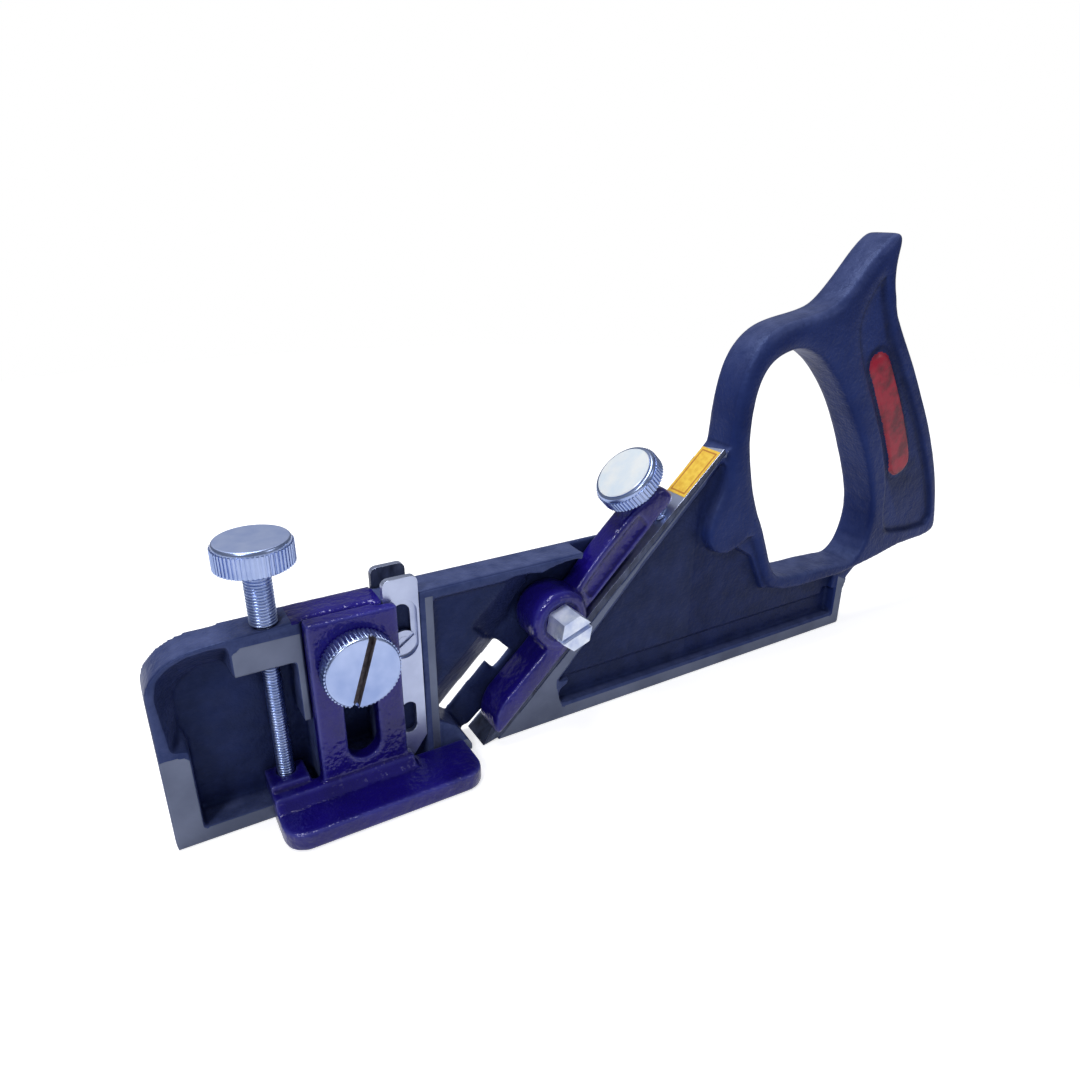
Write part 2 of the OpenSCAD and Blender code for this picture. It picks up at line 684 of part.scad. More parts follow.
// Outline of a spur
module spur_side() {
    x0 = spur_x - spur_w / 2;
    x1 = spur_x + spur_w / 2;
    top = spur_tip_z + spur_l;
    polygon(concat(
        [[spur_x + 0.1, spur_tip_z], [x1, spur_tip_z + 5.6]],
        quarter([x1 - 1.6, top - 1.6], 1.6, 1.6, 0, 90, 5),
        quarter([x0 + 1.6, top - 1.6], 1.6, 1.6, 90, 180, 5),
        [[x0, spur_tip_z + 6.2]]));
}

spur_slot_z0 = spur_screw_z - spur_slot_w / 2 - 0.6;
spur_slot_z1 = spur_slot_z0 + 12;
head_depth = 0.8;

module spur() {
    difference() {
        plate(near_y, near_y + spur_t - 0.05)
            difference() {
                spur_side();
                slot_outline(spur_x, spur_slot_z0, spur_slot_z1, spur_slot_w);
                slot_outline(spur_x, 11, 19.4, 3.6);
            }
        plate(-cut, near_y + head_depth + 0.05)
            slot_outline(spur_x, spur_slot_z0 - 1.4, spur_slot_z1 + 1.4, spur_slot_w + 2.8);
    }
}

module slot_outline(x, z0, z1, w) {
    translate([x, z0 + w / 2])
        circle(d = w);
    translate([x, z1 - w / 2])
        circle(d = w);
    translate([x - w / 2, z0 + w / 2])
        square([w, z1 - z0 - w]);
}

module spur_screw() {
    turn = 35;
    difference() {
        union() {
            drill_y(spur_x, spur_screw_z, spur_head_r, near_y + 0.05, near_y + head_depth);
            drill_y(spur_x, spur_screw_z, spur_screw_r, near_y, -0.4);
        }
        translate([spur_x, near_y + 0.05, spur_screw_z])
            rotate([0, -turn, 0])
                cube([10, 0.9, 0.8], center = true);
    }
}

module near_spur() {
    color(steel)
        from_toe()
            spur();
}

module far_spur() {
    color(steel)
        from_toe()
            mirror([0, 1, 0])
                spur();
}

module near_spur_screw() {
    color(steel)
        from_toe()
            spur_screw();
}

module far_spur_screw() {
    color(steel)
        from_toe()
            mirror([0, 1, 0])
                spur_screw();
}

// Foot outline in x and y, with its two outer corners rounded
foot_x0 = guide_x0 - 9.2;
foot_back_y = near_y - slide_gap;
module foot_outline() {
    x1 = foot_x0 + foot_l;
    polygon(concat(
        [[foot_x0, foot_back_y]],
        quarter([foot_x0 + foot_r, foot_r - foot_reach], foot_r, foot_r, 180, 270, 8),
        quarter([x1 - foot_r, foot_r - foot_reach], foot_r, foot_r, 270, 360, 8),
        [[x1, foot_back_y]]));
}

tab_x1 = guide_x0 - 0.4;
tab_z0 = sole_strip_h + 0.3;
tab_z1 = 8.8;
module depth_gauge() {
    slot_x = clamp_x;
    slot_z1 = clamp_z + clamp_r + 2.4;
    step_y = arm_front_y - 0.9;
    color(blue)
        from_toe()
            difference() {
                union() {
                    linear_extrude(foot_t)
                        foot_outline();
                    translate([foot_x0, 0, 0])
                        rotate([90, 0, 90])
                            linear_extrude(arm_x1 + 1.4 - foot_x0)
                                polygon([[foot_back_y, 0], [foot_back_y, step_h], [step_y, step_h],
                                         [step_y - 0.4, step_h - 1.2], [step_y - 0.9, step_h - 2.0],
                                         [step_y - 1.8, foot_t], [step_y - 1.8, 0]]);
                    plate(arm_front_y, foot_back_y)
                        translate([tongue_x0, 0])
                            square([arm_x1 - tongue_x0, arm_top_z]);
                    plate(foot_back_y - eps, arm_back_y - slide_gap)
                        translate([tongue_x0, 0])
                            square([tongue_x1 - tongue_x0, arm_top_z]);
                    translate([foot_x0, foot_back_y - 1, tab_z0])
                        cube([tab_x1 - foot_x0, far_y - toe_floor_t - 0.5 - foot_back_y + 1, tab_z1 - tab_z0]);
                }
                plate(-cut, cut)
                    slot_outline(slot_x, arm_slot_z, slot_z1, arm_slot_w);
                translate([adjuster_x, -adjuster_side, -1])
                    cylinder(h = cut, r = tail_r + fit);
            }
}

module depth_gauge_clamp_screw() {
    slot_w = 1.7;
    turn = 72;
    head_y = arm_front_y - 0.05;
    color(chrome_grey)
        from_toe()
            difference() {
                union() {
                    translate([clamp_x, head_y, clamp_z])
                        rotate([90, 0, 0])
                            knurled_head(clamp_head_r, clamp_head_t, 34);
                    drill_y(clamp_x, clamp_z, clamp_r, head_y - 0.2, far_y - 2.2);
                }
                translate([clamp_x, head_y - clamp_head_t, clamp_z])
                    rotate([0, -turn, 0])
                        cube([3 * clamp_head_r, 3.2, slot_w], center = true);
            }
}

module depth_adjusting_screw() {
    tail_z0 = 5.2;
    color(chrome_grey)
        from_toe()
            translate([adjuster_x, -adjuster_side, 0])
                union() {
                    translate([0, 0, tail_z0])
                        cylinder(h = seat_z - tail_z0 + 1, r = tail_r);
                    translate([0, 0, seat_z + 0.04])
                        cylinder(h = shank_h, r = shank_r);
                    translate([0, 0, seat_z + shank_h - 0.2])
                        knurled_head(adjuster_head_r, adjuster_head_t, 38);
                }
}

body();
cutter();
cutter_label();
lever_cap();
lever_cap_pivot_screw();
lever_cap_thumb_screw();
near_spur();
far_spur();
near_spur_screw();
far_spur_screw();
depth_gauge();
depth_gauge_clamp_screw();
depth_adjusting_screw();
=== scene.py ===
# %% Load the frame
from math import cos, pi, radians, sin, tau

import bmesh
import bpy
import numpy as np
from mathutils import Matrix, Vector


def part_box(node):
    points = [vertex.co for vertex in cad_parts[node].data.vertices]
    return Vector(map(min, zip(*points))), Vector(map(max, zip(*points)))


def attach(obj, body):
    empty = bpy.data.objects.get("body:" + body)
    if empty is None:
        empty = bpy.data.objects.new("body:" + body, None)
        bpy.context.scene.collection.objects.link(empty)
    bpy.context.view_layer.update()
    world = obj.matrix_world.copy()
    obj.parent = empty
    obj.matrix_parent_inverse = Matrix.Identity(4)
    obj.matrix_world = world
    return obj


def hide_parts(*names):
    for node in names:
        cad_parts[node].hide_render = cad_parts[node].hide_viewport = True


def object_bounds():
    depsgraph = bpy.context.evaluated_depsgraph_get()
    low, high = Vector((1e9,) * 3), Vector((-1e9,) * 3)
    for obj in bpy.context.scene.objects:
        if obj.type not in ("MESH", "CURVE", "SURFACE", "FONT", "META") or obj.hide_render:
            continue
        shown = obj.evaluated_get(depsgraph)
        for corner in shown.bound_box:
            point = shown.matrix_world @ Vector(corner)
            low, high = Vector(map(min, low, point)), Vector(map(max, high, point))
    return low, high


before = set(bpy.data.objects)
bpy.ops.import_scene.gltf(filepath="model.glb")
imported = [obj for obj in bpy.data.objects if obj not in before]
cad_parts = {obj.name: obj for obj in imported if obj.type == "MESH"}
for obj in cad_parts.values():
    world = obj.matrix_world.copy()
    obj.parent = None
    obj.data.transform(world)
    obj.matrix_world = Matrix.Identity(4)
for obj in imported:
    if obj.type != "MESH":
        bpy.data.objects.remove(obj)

cad_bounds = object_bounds()
print("CAD box", cad_bounds)

# %% [markdown]
# This is a narrow iron plane for cutting grooves across a board. Its body is one enamelled casting
# with the handle cast on. The cutter lies on a bed at 43 degrees under a blue lever cap, two steel
# spurs score the groove's sides, and a blue gauge on the near side sets its depth.
# Every piece is built in metres round the CAD model, so the CAD boxes give each place. A few
# sizes are named here once, because several pieces share them.

# %% Shared sizes
MM = 0.001
TOE_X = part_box("body")[0][0]
SIDE_Y = 4.65 * MM
BED_ANGLE = radians(43)
ALONG_BED = Vector((cos(BED_ANGLE), 0, sin(BED_ANGLE)))
OFF_BED = Vector((-sin(BED_ANGLE), 0, cos(BED_ANGLE)))
CUTTER_T = 2.6 * MM
CUTTER_MIDDLE_Y = -0.825
BED_FOOT = Vector((TOE_X + 76.4 * MM, 0, 0)) + CUTTER_T * OFF_BED
PITCH = 0.7 * MM
WELD_DISTANCE = 0.002 * MM


def from_toe(x, y, z):
    """A point measured in millimetres from the toe, the mid-plane and the sole."""
    return Vector((TOE_X + x * MM, y * MM, z * MM))


def on_bed(along, off, y=0):
    """A point in millimetres along the cutter's face and off it."""
    return BED_FOOT + along * MM * ALONG_BED + off * MM * OFF_BED + Vector((0, y * MM, 0))


print("toe at X", TOE_X, "and cutter's foot at", tuple(BED_FOOT))


# %% [markdown]
# The camera stands close to the toe and a little above, so the perspective is strong. Its place,
# its three angles and its lens were fitted to the photograph with the sole taken as 203 mm long.

# %% Camera
camera_data = bpy.data.cameras.new("camera")
camera_data.sensor_width = 36
camera_data.lens = 26.12
camera_data.clip_start = 0.01
camera = bpy.data.objects.new("camera", camera_data)
camera.location = from_toe(2.49, -153.41, 126.34)
camera.rotation_euler = (radians(66.989), radians(-0.218), radians(-30.017))
bpy.context.scene.collection.objects.link(camera)
bpy.context.scene.camera = camera
print("camera at", tuple(camera.location))

# %% [markdown]
# A product on a pale table needs large soft lamps: one over the rail, which gives the tops of the
# casting their sheen, one at the toe's side, and a weak one at the heel. To the camera the world is
# white, and to everything else it is a dim sky. The table is a disc of pale paint, on which the
# plane's shadow falls.

# %% Lamps, world and floor
def area_lamp(name, place, aim, size, power):
    """A round lamp of this size in metres and power in watts, turned to what it lights."""
    data = bpy.data.lights.new(name, "AREA")
    data.shape = "DISK"
    data.size = size
    data.energy = power
    lamp = bpy.data.objects.new(name, data)
    lamp.location = place
    lamp.rotation_euler = (Vector(aim) - Vector(place)).to_track_quat("-Z", "Y").to_euler()
    bpy.context.scene.collection.objects.link(lamp)
    return lamp


middle = Vector((0.0, 0.0, 0.05))
area_lamp("lamp_over", (-0.15, 0.15, 0.75), middle, size=0.40, power=3.6)
area_lamp("lamp_toe", (-0.54, -0.42, 0.62), middle, size=0.16, power=2.3)
area_lamp("lamp_heel", (0.50, -0.60, 0.55), middle, size=0.30, power=0.7)

world = bpy.data.worlds.new("studio")
bpy.context.scene.world = world
world.use_nodes = True
sky = world.node_tree
sky.nodes.clear()
ambient = sky.nodes.new("ShaderNodeBackground")
ambient.inputs["Color"].default_value = (0.90, 0.93, 1.0, 1)
ambient.inputs["Strength"].default_value = 0.26
seen = sky.nodes.new("ShaderNodeBackground")
seen.inputs["Color"].default_value = (1, 1, 1, 1)
seen.inputs["Strength"].default_value = 1.0
ray = sky.nodes.new("ShaderNodeLightPath")
choice = sky.nodes.new("ShaderNodeMixShader")
sky_out = sky.nodes.new("ShaderNodeOutputWorld")
sky.links.new(ray.outputs["Is Camera Ray"], choice.inputs["Fac"])
sky.links.new(ambient.outputs["Background"], choice.inputs[1])
sky.links.new(seen.outputs["Background"], choice.inputs[2])
sky.links.new(choice.outputs["Shader"], sky_out.inputs["Surface"])

bpy.context.scene.view_settings.view_transform = "Standard"

floor_radius = 0.55
floor_z = cad_bounds[0][2] - 0.02 * MM
floor_middle = (0.02, 0.06, floor_z)
floor_shape = bmesh.new()
bmesh.ops.create_circle(floor_shape, cap_ends=True, segments=96, radius=floor_radius,
                        matrix=Matrix.Translation(floor_middle))
floor_mesh = bpy.data.meshes.new("floor")
floor_shape.to_mesh(floor_mesh)
floor_shape.free()
floor = bpy.data.objects.new("floor", floor_mesh)
bpy.context.scene.collection.objects.link(floor)
print("lamps:", len(bpy.data.lights), "and a floor at Z", floor_z)

# %% [markdown]
# A finish is a Principled shader with a few pattern nodes in front of it. A small helper keeps each
# material to the lines that make it different. Constant values stay on the shader's own sockets,
# and the patterns read Object coordinates, which are metres here, so a scale of 1000 means about a
# millimetre. What a pattern can't tell, such as which corner gets painted shade, is stored in the mesh.

# %% Material helpers
def shader(name, color, roughness, metallic=0.0, coat=0.0, coat_roughness=0.1):
    """A new material with its Principled node set, and its node tree."""
    material = bpy.data.materials.new(name)
    material.use_nodes = True
    tree = material.node_tree
    surface = tree.nodes["Principled BSDF"]
    surface.inputs["Base Color"].default_value = (*color, 1)
    surface.inputs["Roughness"].default_value = roughness
    surface.inputs["Metallic"].default_value = metallic
    surface.inputs["Coat Weight"].default_value = coat
    surface.inputs["Coat Roughness"].default_value = coat_roughness
    return material, tree, surface


def object_coordinates(tree, stretch=(1, 1, 1), turn=(0, 0, 0)):
    """The piece's own coordinates, turned and then stretched."""
    place = tree.nodes.new("ShaderNodeTexCoord")
    mapping = tree.nodes.new("ShaderNodeMapping")
    mapping.inputs["Scale"].default_value = stretch
    mapping.inputs["Rotation"].default_value = turn
    tree.links.new(place.outputs["Object"], mapping.inputs["Vector"])
    return mapping.outputs["Vector"]


def noise(tree, vector, scale, detail=2.0, rough=0.5):
    """Soft clouds of noise, from 0 to 1."""
    node = tree.nodes.new("ShaderNodeTexNoise")
    node.inputs["Scale"].default_value = scale
    node.inputs["Detail"].default_value = detail
    node.inputs["Roughness"].default_value = rough
    tree.links.new(vector, node.inputs["Vector"])
    return node.outputs["Fac"]


def ramp(tree, value, stops):
    """A Color Ramp through (position, colour) stops."""
    node = tree.nodes.new("ShaderNodeValToRGB")
    elements = node.color_ramp.elements
    while len(elements) < len(stops):
        elements.new(0.5)
    for element, (position, color) in zip(elements, stops):
        element.position = position
        element.color = (*color, 1)
    tree.links.new(value, node.inputs["Fac"])
    return node.outputs["Color"]


def bump(tree, surface, height, depth, strength=1.0):
    """Adds relief of the given depth in metres, on top of any that is there."""
    node = tree.nodes.new("ShaderNodeBump")
    node.inputs["Distance"].default_value = depth
    node.inputs["Strength"].default_value = strength
    tree.links.new(height, node.inputs["Height"])
    if surface.inputs["Normal"].is_linked:
        tree.links.new(surface.inputs["Normal"].links[0].from_socket, node.inputs["Normal"])
    for name in ("Normal", "Coat Normal"):
        tree.links.new(node.outputs["Normal"], surface.inputs[name])


def mixed(tree, factor, first, second):
    """The first colour where the factor is 0, and the second where it is 1."""
    node = tree.nodes.new("ShaderNodeMix")
    node.data_type = "RGBA"
    tree.links.new(factor, node.inputs["Factor"])
    tree.links.new(first, node.inputs["A"])
    tree.links.new(second, node.inputs["B"])
    return node.outputs["Result"]


def calc(tree, operation, a, b=0.0, c=0.0):
    """One Math node. Each of its values is a number or an output of another node."""
    node = tree.nodes.new("ShaderNodeMath")
    node.operation = operation
    for socket, value in zip(node.inputs, (a, b, c)):
        if isinstance(value, (int, float)):
            socket.default_value = value
        else:
            tree.links.new(value, socket)
    return node.outputs["Value"]


def unit(tree, value):
    """The value held between 0 and 1."""
    return calc(tree, "MINIMUM", calc(tree, "MAXIMUM", value, 0.0), 1.0)


def mottled(name, color, roughness, metallic, cloud, tones, relief, **coat):
    """A finish whose colour drifts between two tones, with a fine relief.

    cloud is the drift's noise as (scale, detail, stretch). relief is (noise, depth, strength), and its
    noise is (scale, detail, stretch, turn), or None where the relief follows the drift.
    """
    material, tree, surface = shader(name, color, roughness, metallic, **coat)
    scale, detail, *mapping = cloud
    drift = noise(tree, object_coordinates(tree, *mapping), scale, detail)
    tree.links.new(ramp(tree, drift, tones), surface.inputs["Base Color"])
    pattern, depth, strength = relief
    height = drift
    if pattern:
        scale, detail, *mapping = pattern
        height = noise(tree, object_coordinates(tree, *mapping), scale, detail)
    bump(tree, surface, height, depth, strength)
    return material


# %% [markdown]
# The table's paint glows a little for the camera, so it meets the white world without an edge, and
# less in what mirrors it, so the plating isn't flooded from below. To all other light it only
# reflects, and so it keeps the shadow.

# %% Floor material
GLOW = 0.66
GLOW_IN_MIRRORS = 0.35
floor_paint, tree, surface = shader("floor_paint", (0.80, 0.80, 0.82), 0.9)
surface.inputs["Specular IOR Level"].default_value = 0.0
grain = noise(tree, object_coordinates(tree), 4.0)
tree.links.new(ramp(tree, grain, [(0.3, (0.79, 0.79, 0.81)), (0.7, (0.81, 0.81, 0.83))]),
               surface.inputs["Base Color"])
glow = tree.nodes.new("ShaderNodeEmission")
glow.inputs["Color"].default_value = (1, 1, 1, 1)
glow.inputs["Strength"].default_value = GLOW
lit = tree.nodes.new("ShaderNodeAddShader")
floor_ray = tree.nodes.new("ShaderNodeLightPath")
floor_choice = tree.nodes.new("ShaderNodeMixShader")
mirrored = calc(tree, "MULTIPLY", floor_ray.outputs["Is Glossy Ray"], GLOW_IN_MIRRORS)
seen_directly = calc(tree, "MAXIMUM", floor_ray.outputs["Is Camera Ray"], mirrored)
tree.links.new(surface.outputs["BSDF"], lit.inputs[0])
tree.links.new(glow.outputs["Emission"], lit.inputs[1])
tree.links.new(seen_directly, floor_choice.inputs["Fac"])
tree.links.new(surface.outputs["BSDF"], floor_choice.inputs[1])
tree.links.new(lit.outputs["Shader"], floor_choice.inputs[2])
tree.links.new(floor_choice.outputs["Shader"], tree.nodes["Material Output"].inputs["Surface"])
floor_mesh.materials.append(floor_paint)
print("floor paint nodes:", len(tree.nodes))

# %% [markdown]
# The body is iron dipped in navy enamel, and the small castings are ultramarine. Enamel is never one
# flat colour: its corners and recess floors are painted darker as painted shade, its edges paler as
# wear and a painted highlight, what faces up paler as dust and a painted sheen, and the toe end paler
# as painted light, and the rough casting below it shows as a fine orange peel. How hollow the
# surface is comes from the mesh attribute "cavity", which the casting helpers store.

# %% Enamels
RECESS_FLOOR_Y = 4.1 * MM
PAINTED_LIGHT_END_X = TOE_X + 140 * MM
UPWARD_DUST_AND_SHEEN = 0.85
TOE_PAINTED_LIGHT = 0.70
RECESS_SHADE = 0.84
CORNER_SHADE = 0.9


def place_and_normal(tree):
    """The X, Y and Z sockets of the surface's place and of its normal."""
    texture = tree.nodes.new("ShaderNodeTexCoord")
    separated = []
    for name in ("Object", "Normal"):
        node = tree.nodes.new("ShaderNodeSeparateXYZ")
        tree.links.new(texture.outputs[name], node.inputs["Vector"])
        separated.append(node.outputs)
    return separated


def recess_shade(tree):
    """1 on the floors of the side recesses, which are painted darker as painted shade, and 0 elsewhere.
    """
    place, normal = place_and_normal(tree)
    inside = calc(tree, "LESS_THAN", calc(tree, "ABSOLUTE", place["Y"]), RECESS_FLOOR_Y)
    sideways = calc(tree, "ABSOLUTE", normal["Y"])
    return calc(tree, "MULTIPLY", inside, calc(tree, "SMOOTH_MIN", sideways, 1.0, 0.2))


def cavity_shades(tree):
    """How much of a corner and how much of an edge the surface is, from the stored cavities."""
    cavity = tree.nodes.new("ShaderNodeAttribute")
    cavity.attribute_name = "cavity"
    hollow = cavity.outputs["Fac"]
    return unit(tree, hollow), unit(tree, calc(tree, "MULTIPLY", hollow, -1.0))


def dust_and_painted_light(tree):
    """How far the paint is lightened: most on what faces up, as dust and a painted sheen, and less on
    the whole toe end, as painted light.
    """
    place, normal = place_and_normal(tree)
    upward = calc(tree, "MULTIPLY", calc(tree, "MAXIMUM", normal["Z"], 0.0), UPWARD_DUST_AND_SHEEN)
    at_toe = calc(tree, "LESS_THAN", place["X"], PAINTED_LIGHT_END_X)
    return calc(tree, "MAXIMUM", upward, calc(tree, "MULTIPLY", at_toe, TOE_PAINTED_LIGHT))


def shade_corners_light_edges(tree, surface, paint, rubbed_and_highlit, shade_colour, edge_lightening):
    """Colours the surface with the paint, its edges lighter as wear and a painted highlight, and its
    corners darker as painted shade.
    """
    corner, edge = cavity_shades(tree)
    # Edges are lightened, partly as wear and partly as a painted highlight.
    worn_and_highlit = mixed(tree, calc(tree, "MULTIPLY", edge, edge_lightening), paint, rubbed_and_highlit)
    # Painted shade: corners are darkened towards the shade colour.
    final = mixed(tree, calc(tree, "MULTIPLY", corner, CORNER_SHADE), worn_and_highlit, shade_colour)
    tree.links.new(final, surface.inputs["Base Color"])


def navy_enamel():
    """Dull navy, with painted shade in its corners and recesses, edges lighter as wear and a painted
    highlight, tops lighter as dust and a painted sheen, and the toe end lighter as painted light.
    """
    material, tree, surface = shader("navy_enamel", (0.009, 0.016, 0.100), 0.38)
    surface.inputs["Specular IOR Level"].default_value = 0.24
    surface.inputs["Specular Tint"].default_value = (0.30, 0.45, 1.0, 1)
    place = object_coordinates(tree)
    cloud = noise(tree, place, 60.0, 3.0)
    paint = ramp(tree, cloud, [(0.30, (0.008, 0.016, 0.090)), (0.72, (0.020, 0.036, 0.155))])
    shade_colour = ramp(tree, noise(tree, place, 170.0, 4.0, 0.6),
                 [(0.35, (0.004, 0.007, 0.034)), (0.75, (0.011, 0.018, 0.080))])
    dust_and_light = ramp(tree, noise(tree, place, 230.0, 4.0, 0.6),
                [(0.34, (0.043, 0.059, 0.148)), (0.70, (0.086, 0.109, 0.240))])
    # Dust and a painted sheen lighten what faces up, and painted light lightens the toe end.
    dusted_and_lit = mixed(tree, dust_and_painted_light(tree), paint, dust_and_light)
    # Painted shade: the recess floors are darkened towards the shade colour.
    recess_shaded = mixed(tree, calc(tree, "MULTIPLY", recess_shade(tree), RECESS_SHADE), dusted_and_lit, shade_colour)
    shade_corners_light_edges(tree, surface, recess_shaded, dust_and_light, shade_colour, edge_lightening=0.55)
    bump(tree, surface, noise(tree, place, 300.0, 3.0, 0.6), 0.36 * MM, 0.9)
    bump(tree, surface, noise(tree, place, 1100.0, 2.0), 0.14 * MM, 0.9)
    return material


def ultramarine_enamel():
    """Thick and glossy, with edges lighter as wear and a painted highlight, and corners darker as
    painted shade.
    """
    material, tree, surface = shader("ultramarine_enamel", (0.010, 0.004, 0.170), 0.28, coat=0.6,
                                     coat_roughness=0.10)
    surface.inputs["Specular IOR Level"].default_value = 0.35
    surface.inputs["Specular Tint"].default_value = (0.35, 0.35, 1.0, 1)
    place = object_coordinates(tree)
    cloud = noise(tree, place, 80.0, 3.0)
    paint = ramp(tree, cloud, [(0.30, (0.005, 0.0025, 0.090)), (0.72, (0.011, 0.005, 0.200))])
    shade_colour = ramp(tree, cloud, [(0.30, (0.002, 0.001, 0.020)), (0.72, (0.005, 0.003, 0.060))])
    rubbed_and_highlit = ramp(tree, cloud, [(0.30, (0.050, 0.055, 0.260)), (0.72, (0.090, 0.100, 0.400))])
    shade_corners_light_edges(tree, surface, paint, rubbed_and_highlit, shade_colour, edge_lightening=0.6)
    bump(tree, surface, noise(tree, place, 340.0, 2.0), 0.42 * MM, 0.9)
    bump(tree, surface, noise(tree, place, 1000.0, 2.0), 0.18 * MM, 0.9)
    return material


navy = navy_enamel()
ultramarine = ultramarine_enamel()
red = mottled("red_enamel", (0.36, 0.004, 0.030), 0.40, 0.0, cloud=(260.0, 4.0),
              tones=[(0.36, (0.14, 0.002, 0.018)), (0.58, (0.36, 0.004, 0.030))],
              relief=((500.0, 3.0), 0.15 * MM, 0.8), coat=0.1, coat_roughness=0.2)
print("enamels:", navy.name, ultramarine.name, red.name)

# %% [markdown]
# The bare metals differ in their tones, their shine and the scale of their scratches. The body's
# sides were ground along the sole, and the strips along their length. The plating is smooth, the
# adjusting screw's top is brushed, the thumb screw's polished face is painted near white as a painted
# highlight, and the pivot screw is brighter than the plating. The far spur is left dark from
# hardening, and the cutter is darker on its sides below the rail, its underside and its end. Dirt
# fills the clamp screw's slot.

# %% Bare metals
ALONG_SOLE = (60, 900, 1400)
UP_STRIP = (900, 900, 60)
iron = mottled("ground_iron", (0.15, 0.17, 0.24), 0.44, 0.75, cloud=(90.0, 4.0),
               tones=[(0.30, (0.104, 0.124, 0.194)), (0.72, (0.161, 0.187, 0.278))],
               relief=((1.0, 4.0, ALONG_SOLE, (0, radians(24), 0)), 0.03 * MM, 0.8))
steel = mottled("ground_steel", (0.46, 0.52, 0.72), 0.32, 0.9, cloud=(120.0, 4.0),
                tones=[(0.30, (0.38, 0.43, 0.62)), (0.72, (0.56, 0.62, 0.82))],
                relief=((1.0, 4.0, UP_STRIP), 0.008 * MM, 0.5))
plated = mottled("plated_steel", (0.38, 0.47, 0.74), 0.28, 1.0, cloud=(150.0, 3.0),
                 tones=[(0.30, (0.29, 0.38, 0.66)), (0.72, (0.46, 0.55, 0.82))],
                 relief=((900.0, 2.0), 0.004 * MM, 0.5))
brushed = mottled("brushed_steel", (0.46, 0.56, 0.86), 0.40, 0.8, cloud=(260.0, 4.0),
                  tones=[(0.30, (0.40, 0.50, 0.82)), (0.72, (0.53, 0.62, 0.90))],
                  relief=((1600.0, 2.0), 0.012 * MM, 0.6))
polished_and_highlit = mottled("polished_steel", (0.90, 0.95, 1.0), 0.36, 0.35, cloud=(200.0, 4.0),
                   tones=[(0.30, (0.78, 0.89, 1.0)), (0.66, (0.94, 0.98, 1.0))],
                   relief=((1600.0, 2.0), 0.012 * MM, 0.6))
bright = mottled("bright_steel", (0.70, 0.78, 0.96), 0.34, 0.7, cloud=(330.0, 4.0),
                 tones=[(0.32, (0.50, 0.58, 0.82)), (0.68, (0.82, 0.88, 1.0))],
                 relief=((900.0, 3.0, (1, 1, 5)), 0.02 * MM, 0.7))
slot_dirt = mottled("slot_dirt", (0.13, 0.11, 0.13), 0.55, 0.5, cloud=(420.0, 4.0),
                    tones=[(0.35, (0.060, 0.050, 0.060)), (0.68, (0.200, 0.180, 0.200))],
                    relief=(None, 0.02 * MM, 0.6))
dark = mottled("dark_steel", (0.045, 0.060, 0.120), 0.42, 0.4, cloud=(500.0, 4.0, (1, 1, 0.4)),
               tones=[(0.35, (0.022, 0.029, 0.062)), (0.70, (0.078, 0.098, 0.180))],
               relief=(None, 0.01 * MM, 0.5))
print("materials:", [material.name for material in bpy.data.materials])

# %% [markdown]
# A sand casting has no sharp edge: its walls run into each other with a radius of about a
# millimetre. The CAD solid has the right forms but hard corners, so a copy of its mesh is rebuilt
# from small voxels and then relaxed, vertex by vertex, like sanding. Ground faces are held still
# while that happens, so they stay flat with a crisp rim, as a grinder leaves them. How far a longer
# relaxing would move each vertex in or out tells corners from edges, and the materials read that.

# %% Casting helpers
def welded(node):
    """A copy of a CAD node's mesh with its doubles merged."""
    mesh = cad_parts[node].data.copy()
    shape = bmesh.new()
    shape.from_mesh(mesh)
    bmesh.ops.remove_doubles(shape, verts=shape.verts, dist=WELD_DISTANCE)
    shape.to_mesh(mesh)
    shape.free()
    return mesh


def with_modifier(mesh, kind, **settings):
    """The mesh after one modifier, as a plain mesh."""
    carrier = bpy.data.objects.new("carrier", mesh)
    bpy.context.scene.collection.objects.link(carrier)
    modifier = carrier.modifiers.new("change", kind)
    for key, value in settings.items():
        setattr(modifier, key, value)
    graph = bpy.context.evaluated_depsgraph_get()
    result = bpy.data.meshes.new_from_object(carrier.evaluated_get(graph))
    bpy.data.objects.remove(carrier)
    return result


def vectors(items, name):
    """A vector of each vertex or face, such as its co, normal or center, as rows."""
    values = np.empty(len(items) * 3)
    items.foreach_get(name, values)
    return values.reshape(-1, 3)


def relaxed(mesh, passes, freedom):
    """The vertices moved towards the mean of their neighbours, times their freedom from 0 to 1."""
    points = vectors(mesh.vertices, "co")
    edges = np.empty(len(mesh.edges) * 2, dtype=np.int64)
    mesh.edges.foreach_get("vertices", edges)
    edges = edges.reshape(-1, 2)
    count = np.bincount(edges.ravel(), minlength=len(points))[:, None]
    for _ in range(passes):
        total = np.zeros_like(points)
        for axis in range(3):
            total[:, axis] = (np.bincount(edges[:, 0], points[edges[:, 1], axis], len(points))
                              + np.bincount(edges[:, 1], points[edges[:, 0], axis], len(points)))
        points += 0.5 * freedom[:, None] * (total / np.maximum(count, 1) - points)
    return points


def note_cavities(mesh):
    """Stores how hollow the surface is at each vertex: 1 in a corner, 0 on a plane, -1 on an edge."""
    passes = 24
    full_hollow = 0.35 * MM
    points = vectors(mesh.vertices, "co")
    moved = relaxed(mesh, passes, np.ones(len(points))) - points
    hollow = np.clip((moved * vectors(mesh.vertices, "normal")).sum(axis=1) / full_hollow, -1, 1)
    mesh.attributes.new("cavity", "FLOAT", "POINT").data.foreach_set("value", hollow)


